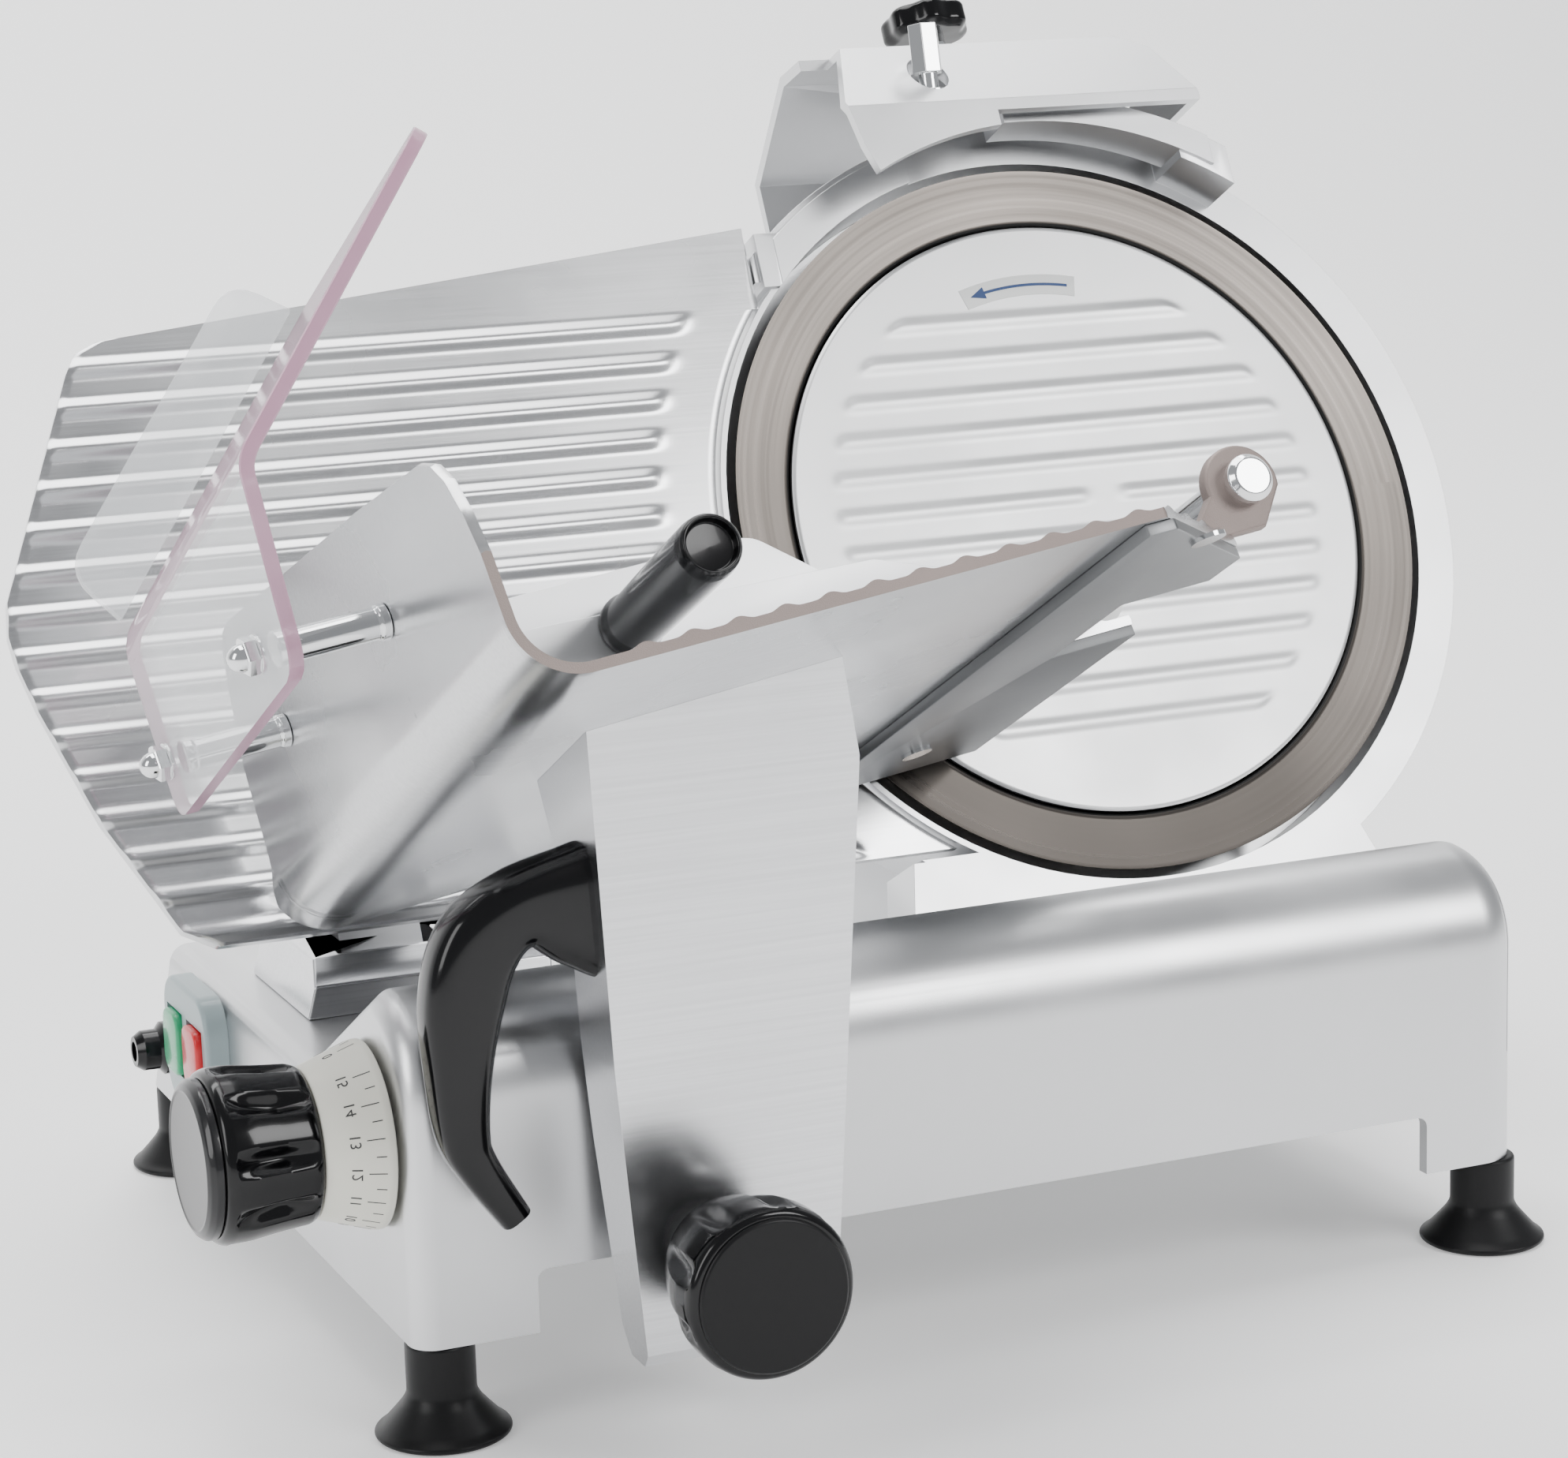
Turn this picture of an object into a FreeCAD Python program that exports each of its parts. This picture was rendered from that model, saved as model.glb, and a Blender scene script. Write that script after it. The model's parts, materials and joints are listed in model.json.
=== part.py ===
import FreeCAD, Part
import math
import os
import Sketcher

# A gravity-feed meat slicer with a 300 mm blade.
#
# Two frames are used. The machine frame stands on the bench: +X runs from the operator's end (dial and
# switch) to the far end, +Y from the carriage side to the slice side, +Z up. The blade frame leans back by
# blade_tilt: its x is +X, its y runs up the blade's face and its z runs from the face towards the carriage.
# Offsets in both frames are counted from the centre of the blade's edge circle. The row's origin is on the
# bench, under the middle of the machine, and blade_x, blade_y and blade_z put the blade's centre there.

SIZES = {
    # where the blade's centre is, and how it leans
    "blade_x": (135.3, "blade centre, along X"),
    "blade_y": (88.8, "blade centre, along Y"),
    "blade_z": (250.0, "blade centre above the bench"),
    "blade_tilt": (27.0, "lean of the blade from the vertical, degrees"),
    "tray_twist": (8.5, "turn of the food tray about the blade's axis, degrees"),
    # blade and its drive
    "blade_radius": (150.0, "edge circle"),
    "land_radius": (127.5, "inside of the ground face"),
    "dish_depth": (9.0, "depth of the blade's dished middle"),
    "hub_radius": (45.0, "flange that carries the blade"),
    "pilot_radius": (20.0, "centre hole of the blade"),
    "shaft_radius": (12.5, "hollow blade shaft"),
    "shaft_bore": (6.5, "hole for the cover's tie rod"),
    "bearing_radius": (26.0, "outside of the blade bearings"),
    "bearing_width": (12.0, "ball bearing"),
    "bearing_gap": (0.04, "running clearance on radius"),
    "blade_pulley_radius": (38.0, "driven pulley"),
    "motor_pulley_radius": (15.0, "driving pulley"),
    "pulley_width": (16.0, "both pulleys"),
    "belt_thick": (3.0, "ribbed belt"),
    "pulley_front": (55.0, "front of the pulleys behind the blade's face"),
    "motor_drop": (105.0, "motor shaft below the blade shaft, down the face"),
    "motor_radius": (50.0, "motor can"),
    "motor_front": (76.0, "front of the motor behind the blade's face"),
    "motor_long": (66.0, "motor can"),
    "motor_shaft_radius": (7.0, "rotor shaft"),
    # blade housing and centre cover
    "ring_outer": (170.0, "guard ring"),
    "ring_inner": (153.5, "clearance hole round the blade"),
    "lip_outer": (156.0, "thin part of the ring beside the gauge plate"),
    "ring_deep": (29.0, "depth of the guard ring"),
    "back_front": (24.0, "front of the housing's back wall behind the face"),
    "wall": (6.0, "casting wall"),
    "boss_radius": (34.0, "bearing boss"),
    "cover_radius": (125.6, "centre cover"),
    "cover_thick": (3.0, "centre cover"),
    "cover_sunk": (0.9, "cover face behind the blade's edge"),
    "tie_radius": (5.0, "tie rod"),
    # gauge plate and thickness dial
    "plate_left": (441.0, "gauge plate's left corner from the blade centre"),
    "plate_top": (133.0, "gauge plate's top right corner up the face"),
    "plate_low": (131.0, "gauge plate's bottom edge down the face"),
    "plate_thick": (5.0, "gauge plate without its ribs"),
    "plate_gap": (157.6, "arc of the gauge plate round the blade"),
    "rib_pitch": (15.7, "ribs of the gauge plate and the centre cover"),
    "rib_high": (1.5, "ribs of the gauge plate"),
    "slice_max": (15.0, "greatest slice thickness"),
    "dial_turn": (330.0, "turn of the dial for the greatest slice, degrees"),
    "dial_y": (194.0, "dial axis before the blade centre"),
    "dial_z": (151.0, "dial axis below the blade centre"),
    "knob_radius": (29.5, "dial and lock knobs"),
    "scale_radius": (32.0, "big end of the dial's scale"),
    "scale_long": (24.0, "dial's scale along X"),
    "dial_knob_long": (34.0, "dial's knob along X"),
    "post_back": (40.0, "sharpener post behind the blade's face"),
    "post_across": (1.0, "sharpener post, from the blade's axis towards the far end"),
    "stone_radius": (11.0, "grinding and honing stones"),
    # base
    "base_left": (371.0, "operator's end, from the blade centre"),
    "base_right": (60.0, "far end, from the blade centre"),
    "base_near": (230.0, "carriage side, from the blade centre"),
    "base_far": (118.0, "slice side at the bottom"),
    "deck_far": (78.0, "slice side at the deck"),
    "base_bottom": (217.0, "underside below the blade centre"),
    "deck_low": (151.0, "deck below the blade centre"),
    "crest_low": (102.0, "crest of the long body below the blade centre"),
    "crest_round": (35.0, "round-over of the long body"),
    "slope_end": (106.0, "foot of the drain slope, before the blade centre"),
    "leg_wide": (43.0, "legs of the near wall"),
    "leg_high": (22.0, "cut-out between the legs"),
    "shell": (5.0, "wall of the base"),
    "foot_radius": (23.0, "suction foot"),
    "foot_stem": (11.8, "stem of the foot"),
    "foot_inset": (11.5, "foot centre from the base's sides"),
    # carriage
    "arm_face": (265.0, "near face of the arm before the blade centre"),
    "tray_under": (79.0, "underside of the tray below the blade centre, across the tray"),
    "tray_thick": (3.5, "tray floor and wall"),
    "tray_left": (377.0, "outside of the tray wall"),
    "tray_right": (88.0, "right edge of the tray floor"),
    "tray_near": (315.0, "near edge of the tray, from the blade's face"),
    "tray_gap": (3.0, "tray edge from the blade's face"),
    "tray_fold": (22.0, "outside radius of the fold"),
    "rod_radius": (10.0, "carriage slide rod"),
    "rod_y": (190.0, "slide rod before the blade centre"),
    "rod_z": (176.0, "slide rod below the blade centre"),
    "slide_gap": (0.05, "running clearance of the slide bushings on radius"),
    "lock_x": (280.0, "tray lock, left of the blade centre"),
    "lock_z": (184.0, "tray lock, below the blade centre"),
    "pusher_rod_radius": (7.0, "rod of the meat pusher"),
    "pusher_rod_q": (79.0, "rod of the meat pusher, left of the blade centre"),
    "pusher_rod_m": (59.0, "rod of the meat pusher, below the blade centre"),
}


def fill_sheet(doc):
    """Write the driving dimensions to a spreadsheet, one alias a row."""
    sheet = doc.addObject("Spreadsheet::Sheet", "dims")
    for row, (alias, (value, meaning)) in enumerate(SIZES.items(), start=1):
        sheet.set(f"A{row}", meaning)
        sheet.set(f"B{row}", str(value))
        sheet.setAlias(f"B{row}", alias)
    doc.recompute()
    return sheet


doc = FreeCAD.newDocument("meat_slicer")
sheet = fill_sheet(doc)
V = FreeCAD.Vector
AXIS_X = V(1, 0, 0)
AXIS_Y = V(0, 1, 0)
AXIS_Z = V(0, 0, 1)


class Size:
    """A length that keeps its spreadsheet expression beside its value."""

    def __init__(self, value, text):
        self.value = value
        self.text = text

    def _join(self, other, sign, value):
        other_text = other.text if isinstance(other, Size) else str(other)
        return Size(value, f"({self.text} {sign} {other_text})")

    def __add__(self, other):
        return self._join(other, "+", self.value + number(other))

    def __sub__(self, other):
        return self._join(other, "-", self.value - number(other))

    def __mul__(self, other):
        return self._join(other, "*", self.value * number(other))

    def __neg__(self):
        return Size(-self.value, f"(0 - {self.text})")


def number(size):
    """The plain value of a Size or a number."""
    return size.value if isinstance(size, Size) else float(size)


def dim(alias):
    """The sheet's cell with this alias, as a Size."""
    return Size(float(sheet.get(alias)), f"dims.{alias}")


def val(alias):
    """The sheet's cell with this alias, as a plain number."""
    return float(sheet.get(alias))


def bind(thing, attribute, size):
    """Set an attribute, and bind it to the sheet when it is a Size."""
    setattr(thing, attribute, number(size))
    if isinstance(size, Size):
        thing.setExpression(attribute, size.text)


# ---- frames -------------------------------------------------------------------------------------------

BLADE_CENTRE = V(val("blade_x"), val("blade_y"), val("blade_z"))
LEAN = FreeCAD.Rotation(AXIS_X, 90 - val("blade_tilt"))
TWIST = FreeCAD.Rotation(AXIS_Z, val("tray_twist"))
MACHINE = FreeCAD.Placement(BLADE_CENTRE, FreeCAD.Rotation())
LEAN_ONLY = FreeCAD.Placement(V(0, 0, 0), LEAN)
BLADE = FreeCAD.Placement(BLADE_CENTRE, LEAN)
TRAY = FreeCAD.Placement(BLADE_CENTRE, LEAN.multiply(TWIST))


def at(frame, x=0, y=0, z=0, turn=None):
    """A placement at an offset in a frame, with an optional rotation of its own."""
    local = FreeCAD.Placement(V(number(x), number(y), number(z)), turn or FreeCAD.Rotation())
    return frame.multiply(local)


TURN_Z_TO_X = FreeCAD.Rotation(AXIS_Y, 90)
TURN_Z_TO_LEFT = FreeCAD.Rotation(AXIS_Y, -90)
TURN_Z_TO_NEAR = FreeCAD.Rotation(AXIS_X, 90)
TURN_Z_TO_Y = FreeCAD.Rotation(AXIS_X, -90)
FLIP = FreeCAD.Rotation(AXIS_X, 180)

# ---- ways of making a sub-part --------------------------------------------------------------------------

sub_parts = []


def keep(thing, label, placement):
    """Name a finished object as a sub-part and place it."""
    thing.Label = label
    thing.Placement = placement
    sub_parts.append(thing)
    return thing


def sketch_on(body, role, name):
    """A sketch on one of the body's own origin planes."""
    plane = next(item for item in body.Origin.OriginFeatures if item.Role == role)
    sketch = body.newObject("Sketcher::SketchObject", name)
    sketch.AttachmentSupport = (plane, [""])
    sketch.MapMode = "FlatFace"
    return sketch


def tie_to_axes(sketch, geometry, position, x, y):
    """Hold one point of a sketch at x and y, bound to the sheet."""
    for kind, axis, size in (("DistanceX", -2, x), ("DistanceY", -1, y)):
        if number(size) == 0:
            sketch.addConstraint(Sketcher.Constraint("PointOnObject", geometry, position, axis))
            continue
        index = sketch.addConstraint(Sketcher.Constraint(kind, -1, 1, geometry, position, number(size)))
        if isinstance(size, Size):
            sketch.setExpression(f"Constraints[{index}]", size.text)


def draw_polygon(sketch, points):
    """A closed polygon through the points, each coordinate a number or a Size."""
    first = sketch.GeometryCount
    corners = [V(number(x), number(y), 0) for x, y in points]
    count = len(corners)
    for index in range(count):
        sketch.addGeometry(Part.LineSegment(corners[index], corners[(index + 1) % count]), False)
    for index in range(count):
        following = first + (index + 1) % count
        sketch.addConstraint(Sketcher.Constraint("Coincident", first + index, 2, following, 1))
    for index, (x, y) in enumerate(points):
        tie_to_axes(sketch, first + index, 1, x, y)


def draw_circle(sketch, x, y, radius):
    """A circle with its centre and its radius bound to the sheet."""
    centre = V(number(x), number(y), 0)
    geometry = sketch.addGeometry(Part.Circle(centre, AXIS_Z, number(radius)), False)
    index = sketch.addConstraint(Sketcher.Constraint("Radius", geometry, number(radius)))
    if isinstance(radius, Size):
        sketch.setExpression(f"Constraints[{index}]", radius.text)
    if number(x) == 0 and number(y) == 0:
        sketch.addConstraint(Sketcher.Constraint("Coincident", geometry, 3, -1, 1))
    else:
        tie_to_axes(sketch, geometry, 3, x, y)


def new_body(label):
    """An empty body for one sub-part."""
    return doc.addObject("PartDesign::Body", "Body_" + label)


def turned(label, profile, placement):
    """A sub-part turned about its local z: the profile's points are (radius, height)."""
    body = new_body(label)
    sketch = sketch_on(body, "XZ_Plane", "Profile_" + label)
    draw_polygon(sketch, profile)
    turn = body.newObject("PartDesign::Revolution", "Turn_" + label)
    turn.Profile = sketch
    turn.ReferenceAxis = (sketch, ["V_Axis"])
    turn.Angle = 360
    sketch.Visibility = False
    return keep(body, label, placement)


def plate(label, outline, thickness, placement, holes=(), round_corners=0):
    """A flat sub-part in its local xy plane, thickness along z, with round holes (x, y, radius)."""
    body = new_body(label)
    sketch = sketch_on(body, "XY_Plane", "Outline_" + label)
    draw_polygon(sketch, outline)
    for x, y, radius in holes:
        draw_circle(sketch, x, y, radius)
    pad = body.newObject("PartDesign::Pad", "Pad_" + label)
    pad.Profile = sketch
    bind(pad, "Length", thickness)
    if round_corners:
        doc.recompute()
        corners = {(round(number(x), 3), round(number(y), 3)) for x, y in outline}
        edges = []
        for index, edge in enumerate(pad.Shape.Edges, start=1):
            ends = {(round(vertex.X, 3), round(vertex.Y, 3)) for vertex in edge.Vertexes}
            if len(edge.Vertexes) == 2 and len(ends) == 1 and ends <= corners:
                edges.append(f"Edge{index}")
        blend = body.newObject("PartDesign::Fillet", "Round_" + label)
        blend.Base = (pad, edges)
        blend.Radius = round_corners
    return keep(body, label, placement)


def disc(label, radius, height, placement, bore=None):
    """A round sub-part along its local z, with an optional hole through it."""
    body = new_body(label)
    sketch = sketch_on(body, "XY_Plane", "Outline_" + label)
    draw_circle(sketch, 0, 0, radius)
    if bore is not None:
        draw_circle(sketch, 0, 0, bore)
    pad = body.newObject("PartDesign::Pad", "Pad_" + label)
    pad.Profile = sketch
    bind(pad, "Length", height)
    return keep(body, label, placement)


def primitive_cylinder(name, radius, height, x=0, y=0, z=0, turn=None):
    """A Part cylinder in local coordinates, for booleans."""
    thing = doc.addObject("Part::Cylinder", name)
    bind(thing, "Radius", radius)
    bind(thing, "Height", height)
    thing.Placement = FreeCAD.Placement(V(number(x), number(y), number(z)), turn or FreeCAD.Rotation())
    return thing


def primitive_box(name, low, size):
    """A Part box from its low corner and its three sizes."""
    thing = doc.addObject("Part::Box", name)
    for attribute, length in zip(("Length", "Width", "Height"), size):
        bind(thing, attribute, length)
    thing.Placement.Base = V(*[number(value) for value in low])
    return thing


def joined(name, things):
    """Part solids made one object."""
    fuse = doc.addObject("Part::MultiFuse", name)
    fuse.Shapes = things
    fuse.Refine = True
    return fuse


def less(name, base, tool):
    """One Part solid cut by another."""
    cut = doc.addObject("Part::Cut", name)
    cut.Base = base
    cut.Tool = tool
    cut.Refine = True
    return cut


def group(label, things, placement):
    """Identical separate solids kept in one node."""
    compound = doc.addObject("Part::Compound", label)
    compound.Links = things
    return keep(compound, label, placement)


def formed(label, shape, placement):
    """A casting or a bent piece whose shape is worked out here from the sheet's sizes."""
    thing = doc.addObject("Part::Feature", label)
    solids = shape.Solids
    thing.Shape = solids[0] if len(solids) == 1 else Part.makeCompound(solids)
    return keep(thing, label, placement)


# ---- shapes for the formed pieces ----------------------------------------------------------------------

def prism(points, low, high, along="z"):
    """A polygon pushed from low to high along an axis; its points are in the other two axes, in order."""
    where = {"x": lambda a, b: V(low, a, b), "y": lambda a, b: V(a, low, b), "z": lambda a, b: V(a, b, low)}
    push = {"x": V(high - low, 0, 0), "y": V(0, high - low, 0), "z": V(0, 0, high - low)}
    wire = Part.makePolygon([where[along](a, b) for a, b in points + [points[0]]])
    return Part.Face(wire).extrude(push[along])


def block(x0, x1, y0, y1, z0, z1):
    """A box between two corners."""
    return Part.makeBox(x1 - x0, y1 - y0, z1 - z0, V(x0, y0, z0))


def rounded(shape, radius, chosen):
    """Fillet the edges that a test on their middle point and their direction chooses."""
    edges = []
    for edge in shape.Edges:
        middle = edge.valueAt((edge.FirstParameter + edge.LastParameter) / 2)
        along = edge.tangentAt((edge.FirstParameter + edge.LastParameter) / 2)
        if chosen(middle, along):
            edges.append(edge)
    return shape.makeFillet(radius, edges)


def arc_profile(items, low, high, along="x"):
    """A closed outline of points and (through, end) arcs, pushed along an axis."""
    place = {"x": lambda a, b: V(low, a, b), "y": lambda a, b: V(a, low, b), "z": lambda a, b: V(a, b, low)}
    push = {"x": V(high - low, 0, 0), "y": V(0, high - low, 0), "z": V(0, 0, high - low)}
    start = place[along](*items[0])
    here = start
    edges = []
    for item in items[1:]:
        if isinstance(item[0], tuple):
            through, end = [place[along](*point) for point in item]
            edges.append(Part.Arc(here, through, end).toShape())
        else:
            end = place[along](*item)
            edges.append(Part.LineSegment(here, end).toShape())
        here = end
    if here.distanceToPoint(start) > 1e-6:
        edges.append(Part.LineSegment(here, start).toShape())
    return Part.Face(Part.Wire(edges)).extrude(push[along])


def lens_rib(length, width, high, x, y, z):
    """A low rib along x with a round crown, its top at z."""
    radius = ((width / 2) ** 2 + high ** 2) / (2 * high)
    rod = Part.makeCylinder(radius, length, V(x, y, z - radius), AXIS_X)
    return rod.common(block(x - 1, x + length + 1, y - width, y + width, z - high - 0.4, z + 1))


def fluted_knob(radius, length, flutes, flute_radius, waist):
    """A grip along z: a turned body that narrows to its waist, with hollows round its rim."""
    outline = [(0, 0), (waist, 0), (radius - 1.5, length * 0.55), (radius, length * 0.75),
               (radius, length - 2), (radius - 2, length), (0, length)]
    body = Part.Face(Part.makePolygon([V(r, 0, z) for r, z in outline + [outline[0]]]))
    knob = body.revolve(V(0, 0, 0), AXIS_Z, 360)
    for index in range(flutes):
        angle = 2 * math.pi * index / flutes
        reach = radius + flute_radius * 0.62
        ball = Part.makeSphere(flute_radius,
                               V(reach * math.cos(angle), reach * math.sin(angle), length * 0.42))
        knob = knob.cut(ball)
    return knob


# ---- base ----------------------------------------------------------------------------------------------

def base_outline(inset, open_bottom):
    """The base's section across X: near wall, round-over, drain slope, deck, sloped far wall."""
    near = -val("base_near") + inset
    crest = -val("crest_low") - inset
    deck = -val("deck_low") - inset
    bottom = -val("base_bottom") - (10 if open_bottom else 0)
    radius = val("crest_round") - inset
    centre = (-val("base_near") + val("crest_round"), -val("crest_low") - val("crest_round"))
    diagonal = (centre[0] - radius * math.cos(math.radians(45)),
                centre[1] + radius * math.sin(math.radians(45)))
    return [(near, bottom), (near, centre[1]), (diagonal, (centre[0], crest)),
            (-val("slope_end") + inset * 0.3, deck), (val("deck_far") - inset, deck),
            (val("base_far") - inset, bottom)]


def base_housing():
    """The hollow cast base, with legs cut in its near wall and a bulge at the back for the motor."""
    left, right = -val("base_left"), val("base_right")
    outer = arc_profile(base_outline(0, False), left, right)
    outer = rounded(outer, 9.0, lambda p, t: abs(p.x - left) < 0.1 and abs(p.z + val("base_bottom")) > 1)
    outer = rounded(outer, 18.0, lambda p, t: abs(p.x - right) < 0.1 and p.y < -val("slope_end")
                    and p.z > -val("base_bottom") + 5)
    bulge = block(-92, 96, 20, val("base_far"), -val("base_bottom"), -val("deck_low"))
    bulge = rounded(bulge, 12.0, lambda p, t: abs(t.z) > 0.9 and p.y > 100)
    outer = outer.fuse(bulge).removeSplitter()
    shell = val("shell")
    inner = arc_profile(base_outline(shell, True), left + shell, right - shell)
    hollow = block(-87, 91, 20, val("base_far") - shell, -val("base_bottom") - 1, -val("deck_low") - shell)
    base = outer.cut(inner).cut(hollow)
    leg = val("leg_wide")
    bottom = -val("base_bottom")
    gap = block(left + leg, right - leg, -val("base_near") - 1, -val("base_near") + 30,
                bottom - 1, bottom + val("leg_high"))
    gap = rounded(gap, 4.0, lambda p, t: abs(t.y) > 0.9 and p.z > bottom)
    motor_door = block(-66, 66, 2, 96, -val("deck_low") - 10, -val("deck_low") + 1)
    gauge_door = block(-338, -290, -50, 0, -val("deck_low") - 10, -val("deck_low") + 1)
    dial_hole = Part.makeCylinder(9.06, 20, V(left - 2, -val("dial_y"), -val("dial_z")), AXIS_X)
    switch_hole = block(left - 1, left + 8, -4, 42, -192, -162)
    gland_hole = Part.makeCylinder(8, 20, V(left - 2, 70, -190), AXIS_X)
    base = base.cut(gap).cut(motor_door).cut(gauge_door).cut(dial_hole).cut(switch_hole).cut(gland_hole)
    for z0, z1, low in ((-26, -18, -180), (-84, -78, -176)):
        web = block(-343, -283, low, -118, z0, z1)
        for x in GAUGE_RODS:
            web = web.cut(Part.makeCylinder(4, 90, V(x, -166, -90), AXIS_Z))
        web.Placement = LEAN_ONLY
        base = base.fuse(web.common(outer).cut(gauge_door))
    for x, y in foot_places():
        post = Part.makeCylinder(9.0, 40, V(x, y, bottom), AXIS_Z).common(outer)
        post = post.cut(Part.makeCylinder(3.0, 20, V(x, y, bottom - 1), AXIS_Z))
        web = block(min(x, left + 1 if x < -150 else x), max(x, x if x < -150 else right - 1),
                    y - 2, y + 2, bottom, bottom + 30).cut(Part.makeCylinder(8.5, 60, V(x, y, bottom - 1),
                            AXIS_Z))
        base = base.fuse(post).fuse(web.common(outer))
    return base


def foot_places():
    """The four feet's centres in the machine frame."""
    inset = val("foot_inset")
    xs = (-val("base_left") + inset, val("base_right") - inset)
    ys = (-val("base_near") + inset, val("base_far") - inset - 1)
    return [(x, y) for y in ys for x in xs]


def build_base():
    """The cast base and everything bolted to it that isn't part of the drive."""
    formed("base_housing", base_housing(), MACHINE)
    bottom = -val("base_bottom")
    outline = [(-352, -150), (42, -150), (42, 96), (-352, 96)]
    screws = [(x, y, 2.2) for y in (-142, 88) for x in (-340, -150, 32)]
    plate("bottom_plate", outline, 1.5, at(MACHINE, 0, 0, bottom + 3), holes=screws, round_corners=8)
    foot_top = bottom
    floor = -val("blade_z")
    high = foot_top - floor
    stem = dim("foot_stem")
    flange = dim("foot_radius")
    profile = [(3.2, 7), (3.2, high), (stem, high), (stem, 13), (stem + 2.5, 9.5), (flange, 3.2),
               (flange, 0.8), (flange - 2.0, 0), (flange - 5.0, 0), (9, 4.5), (9, 7)]
    feet = []
    bolts = []
    for index, (x, y) in enumerate(foot_places()):
        foot = turned(f"foot_{index}", profile, FreeCAD.Placement(V(x, y, floor), FreeCAD.Rotation()))
        sub_parts.remove(foot)
        feet.append(foot)
        shank = primitive_cylinder(f"bolt_shank_{index}", 2.9, 37, x, y, floor + 6)
        head = primitive_cylinder(f"bolt_head_{index}", 6.0, 2.3, x, y, floor + 4.7)
        bolts.append(joined(f"bolt_{index}", [shank, head]))
    group("rubber_feet", feet, MACHINE)
    group("foot_bolts", bolts, MACHINE)


def build_slide_way():
    """The rod and the bar that the carriage runs on, inside the base."""
    start, end = -332, 48
    disc("slide_rod", dim("rod_radius"), end - start,
         at(MACHINE, start, -val("rod_y"), -val("rod_z"), TURN_Z_TO_X))
    brackets = []
    for index, x in enumerate((start, end - 12)):
        plate_box = primitive_box(f"bracket_box_{index}", (x, -val("rod_y") - 20, -val("rod_z") - 18),
                                  (12, 44, 52))
        hole = primitive_cylinder(f"bracket_hole_{index}", dim("rod_radius"), 14, x - 1, -val("rod_y"),
                                  -val("rod_z"), TURN_Z_TO_X)
        brackets.append(less(f"bracket_{index}", plate_box, hole))
    group("rod_brackets", brackets, MACHINE)
    bar = primitive_box("guide_bar_box", (start, -150, -165), (end - start, 8, 14))
    keep(bar, "guide_bar", FreeCAD.Placement(BLADE_CENTRE.add(V(start, -150, -165)), FreeCAD.Rotation()))


# ---- blade, its housing and its drive -------------------------------------------------------------------

def blade_housing():
    """Guard ring, back wall, bearing boss, sharpener boss and the feet that stand on the deck."""
    deep = val("ring_deep")
    outer = val("ring_outer")
    lip = val("lip_outer")
    ring = Part.makeCylinder(outer, deep, V(0, 0, -deep - 1), AXIS_Z)
    beside_plate = block(-outer - 5, -62, -val("plate_low") - 3, val("plate_top") - 24, -deep - 2, 5)
    ring = ring.cut(beside_plate).fuse(Part.makeCylinder(lip, deep, V(0, 0, -deep - 1), AXIS_Z))
    tab = block(-118, -96, 106, 129, -deep - 1, 1.5)
    foot = prism([(-122, -200), (-108, -135), (88, -135), (112, -200)], -deep - 1, -1)
    plate_corner = block(-200, -120.5, val("plate_top") - 25, val("plate_top") + 8, -24, 6)
    plate_corner = plate_corner.cut(Part.makeCylinder(lip, 40, V(0, 0, -30), AXIS_Z))
    ring = ring.fuse(tab).fuse(foot).cut(plate_corner)
    ring = ring.cut(Part.makeCylinder(val("ring_inner"), deep + 5, V(0, 0, -deep + 1), AXIS_Z))
    back = Part.makeCylinder(lip, val("wall"), V(0, 0, -val("back_front") - val("wall")), AXIS_Z)
    boss = Part.makeCylinder(val("boss_radius"), 31, V(0, 0, -51), AXIS_Z)
    bore = Part.makeCylinder(val("bearing_radius"), 40, V(0, 0, -60), AXIS_Z)
    front_bore = Part.makeCylinder(21.0, 40, V(0, 0, -40), AXIS_Z)
    segment = Part.makeCylinder(167.5, 3, V(0, 0, -1.2), AXIS_Z)
    segment = segment.cut(Part.makeCylinder(val("ring_inner"), 9, V(0, 0, -3), AXIS_Z))
    raised = segment.common(block(-110, -44, 100, 165, -3, 4))
    bridge = Part.makeCylinder(172, 19.4, V(0, 0, 6),
                               AXIS_Z).cut(Part.makeCylinder(161, 40, V(0, 0, 0), AXIS_Z))
    bridge = bridge.common(block(-8, 84, 120, 173, 0, 40))
    stand = Part.makeCylinder(172, 40, V(0, 0, -10),
                              AXIS_Z).cut(Part.makeCylinder(158, 60, V(0, 0, -12), AXIS_Z))
    stand = stand.common(block(70, 92, 120, 165, -12, 24))
    post, post_n = val("post_across"), -val("post_back")
    post_boss = Part.makeCylinder(15, 34, V(post, 132, post_n), AXIS_Y)
    post_boss = post_boss.fuse(block(post - 15, post + 15, 120, 166, post_n, -28))
    post_hole = Part.makeCylinder(8.06, 60, V(post, 126, post_n), AXIS_Y)
    housing = ring.fuse(back).fuse(boss).fuse(raised).fuse(bridge).fuse(stand).fuse(post_boss)
    housing = housing.cut(bore.cut(block(-40, 40, -40, 40, -20.9, 5))).cut(front_bore).cut(post_hole)
    housing.Placement = LEAN_ONLY
    above = block(-400, 400, -400, 400, -val("deck_low"), 400)
    return housing.common(above).removeSplitter()





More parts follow.
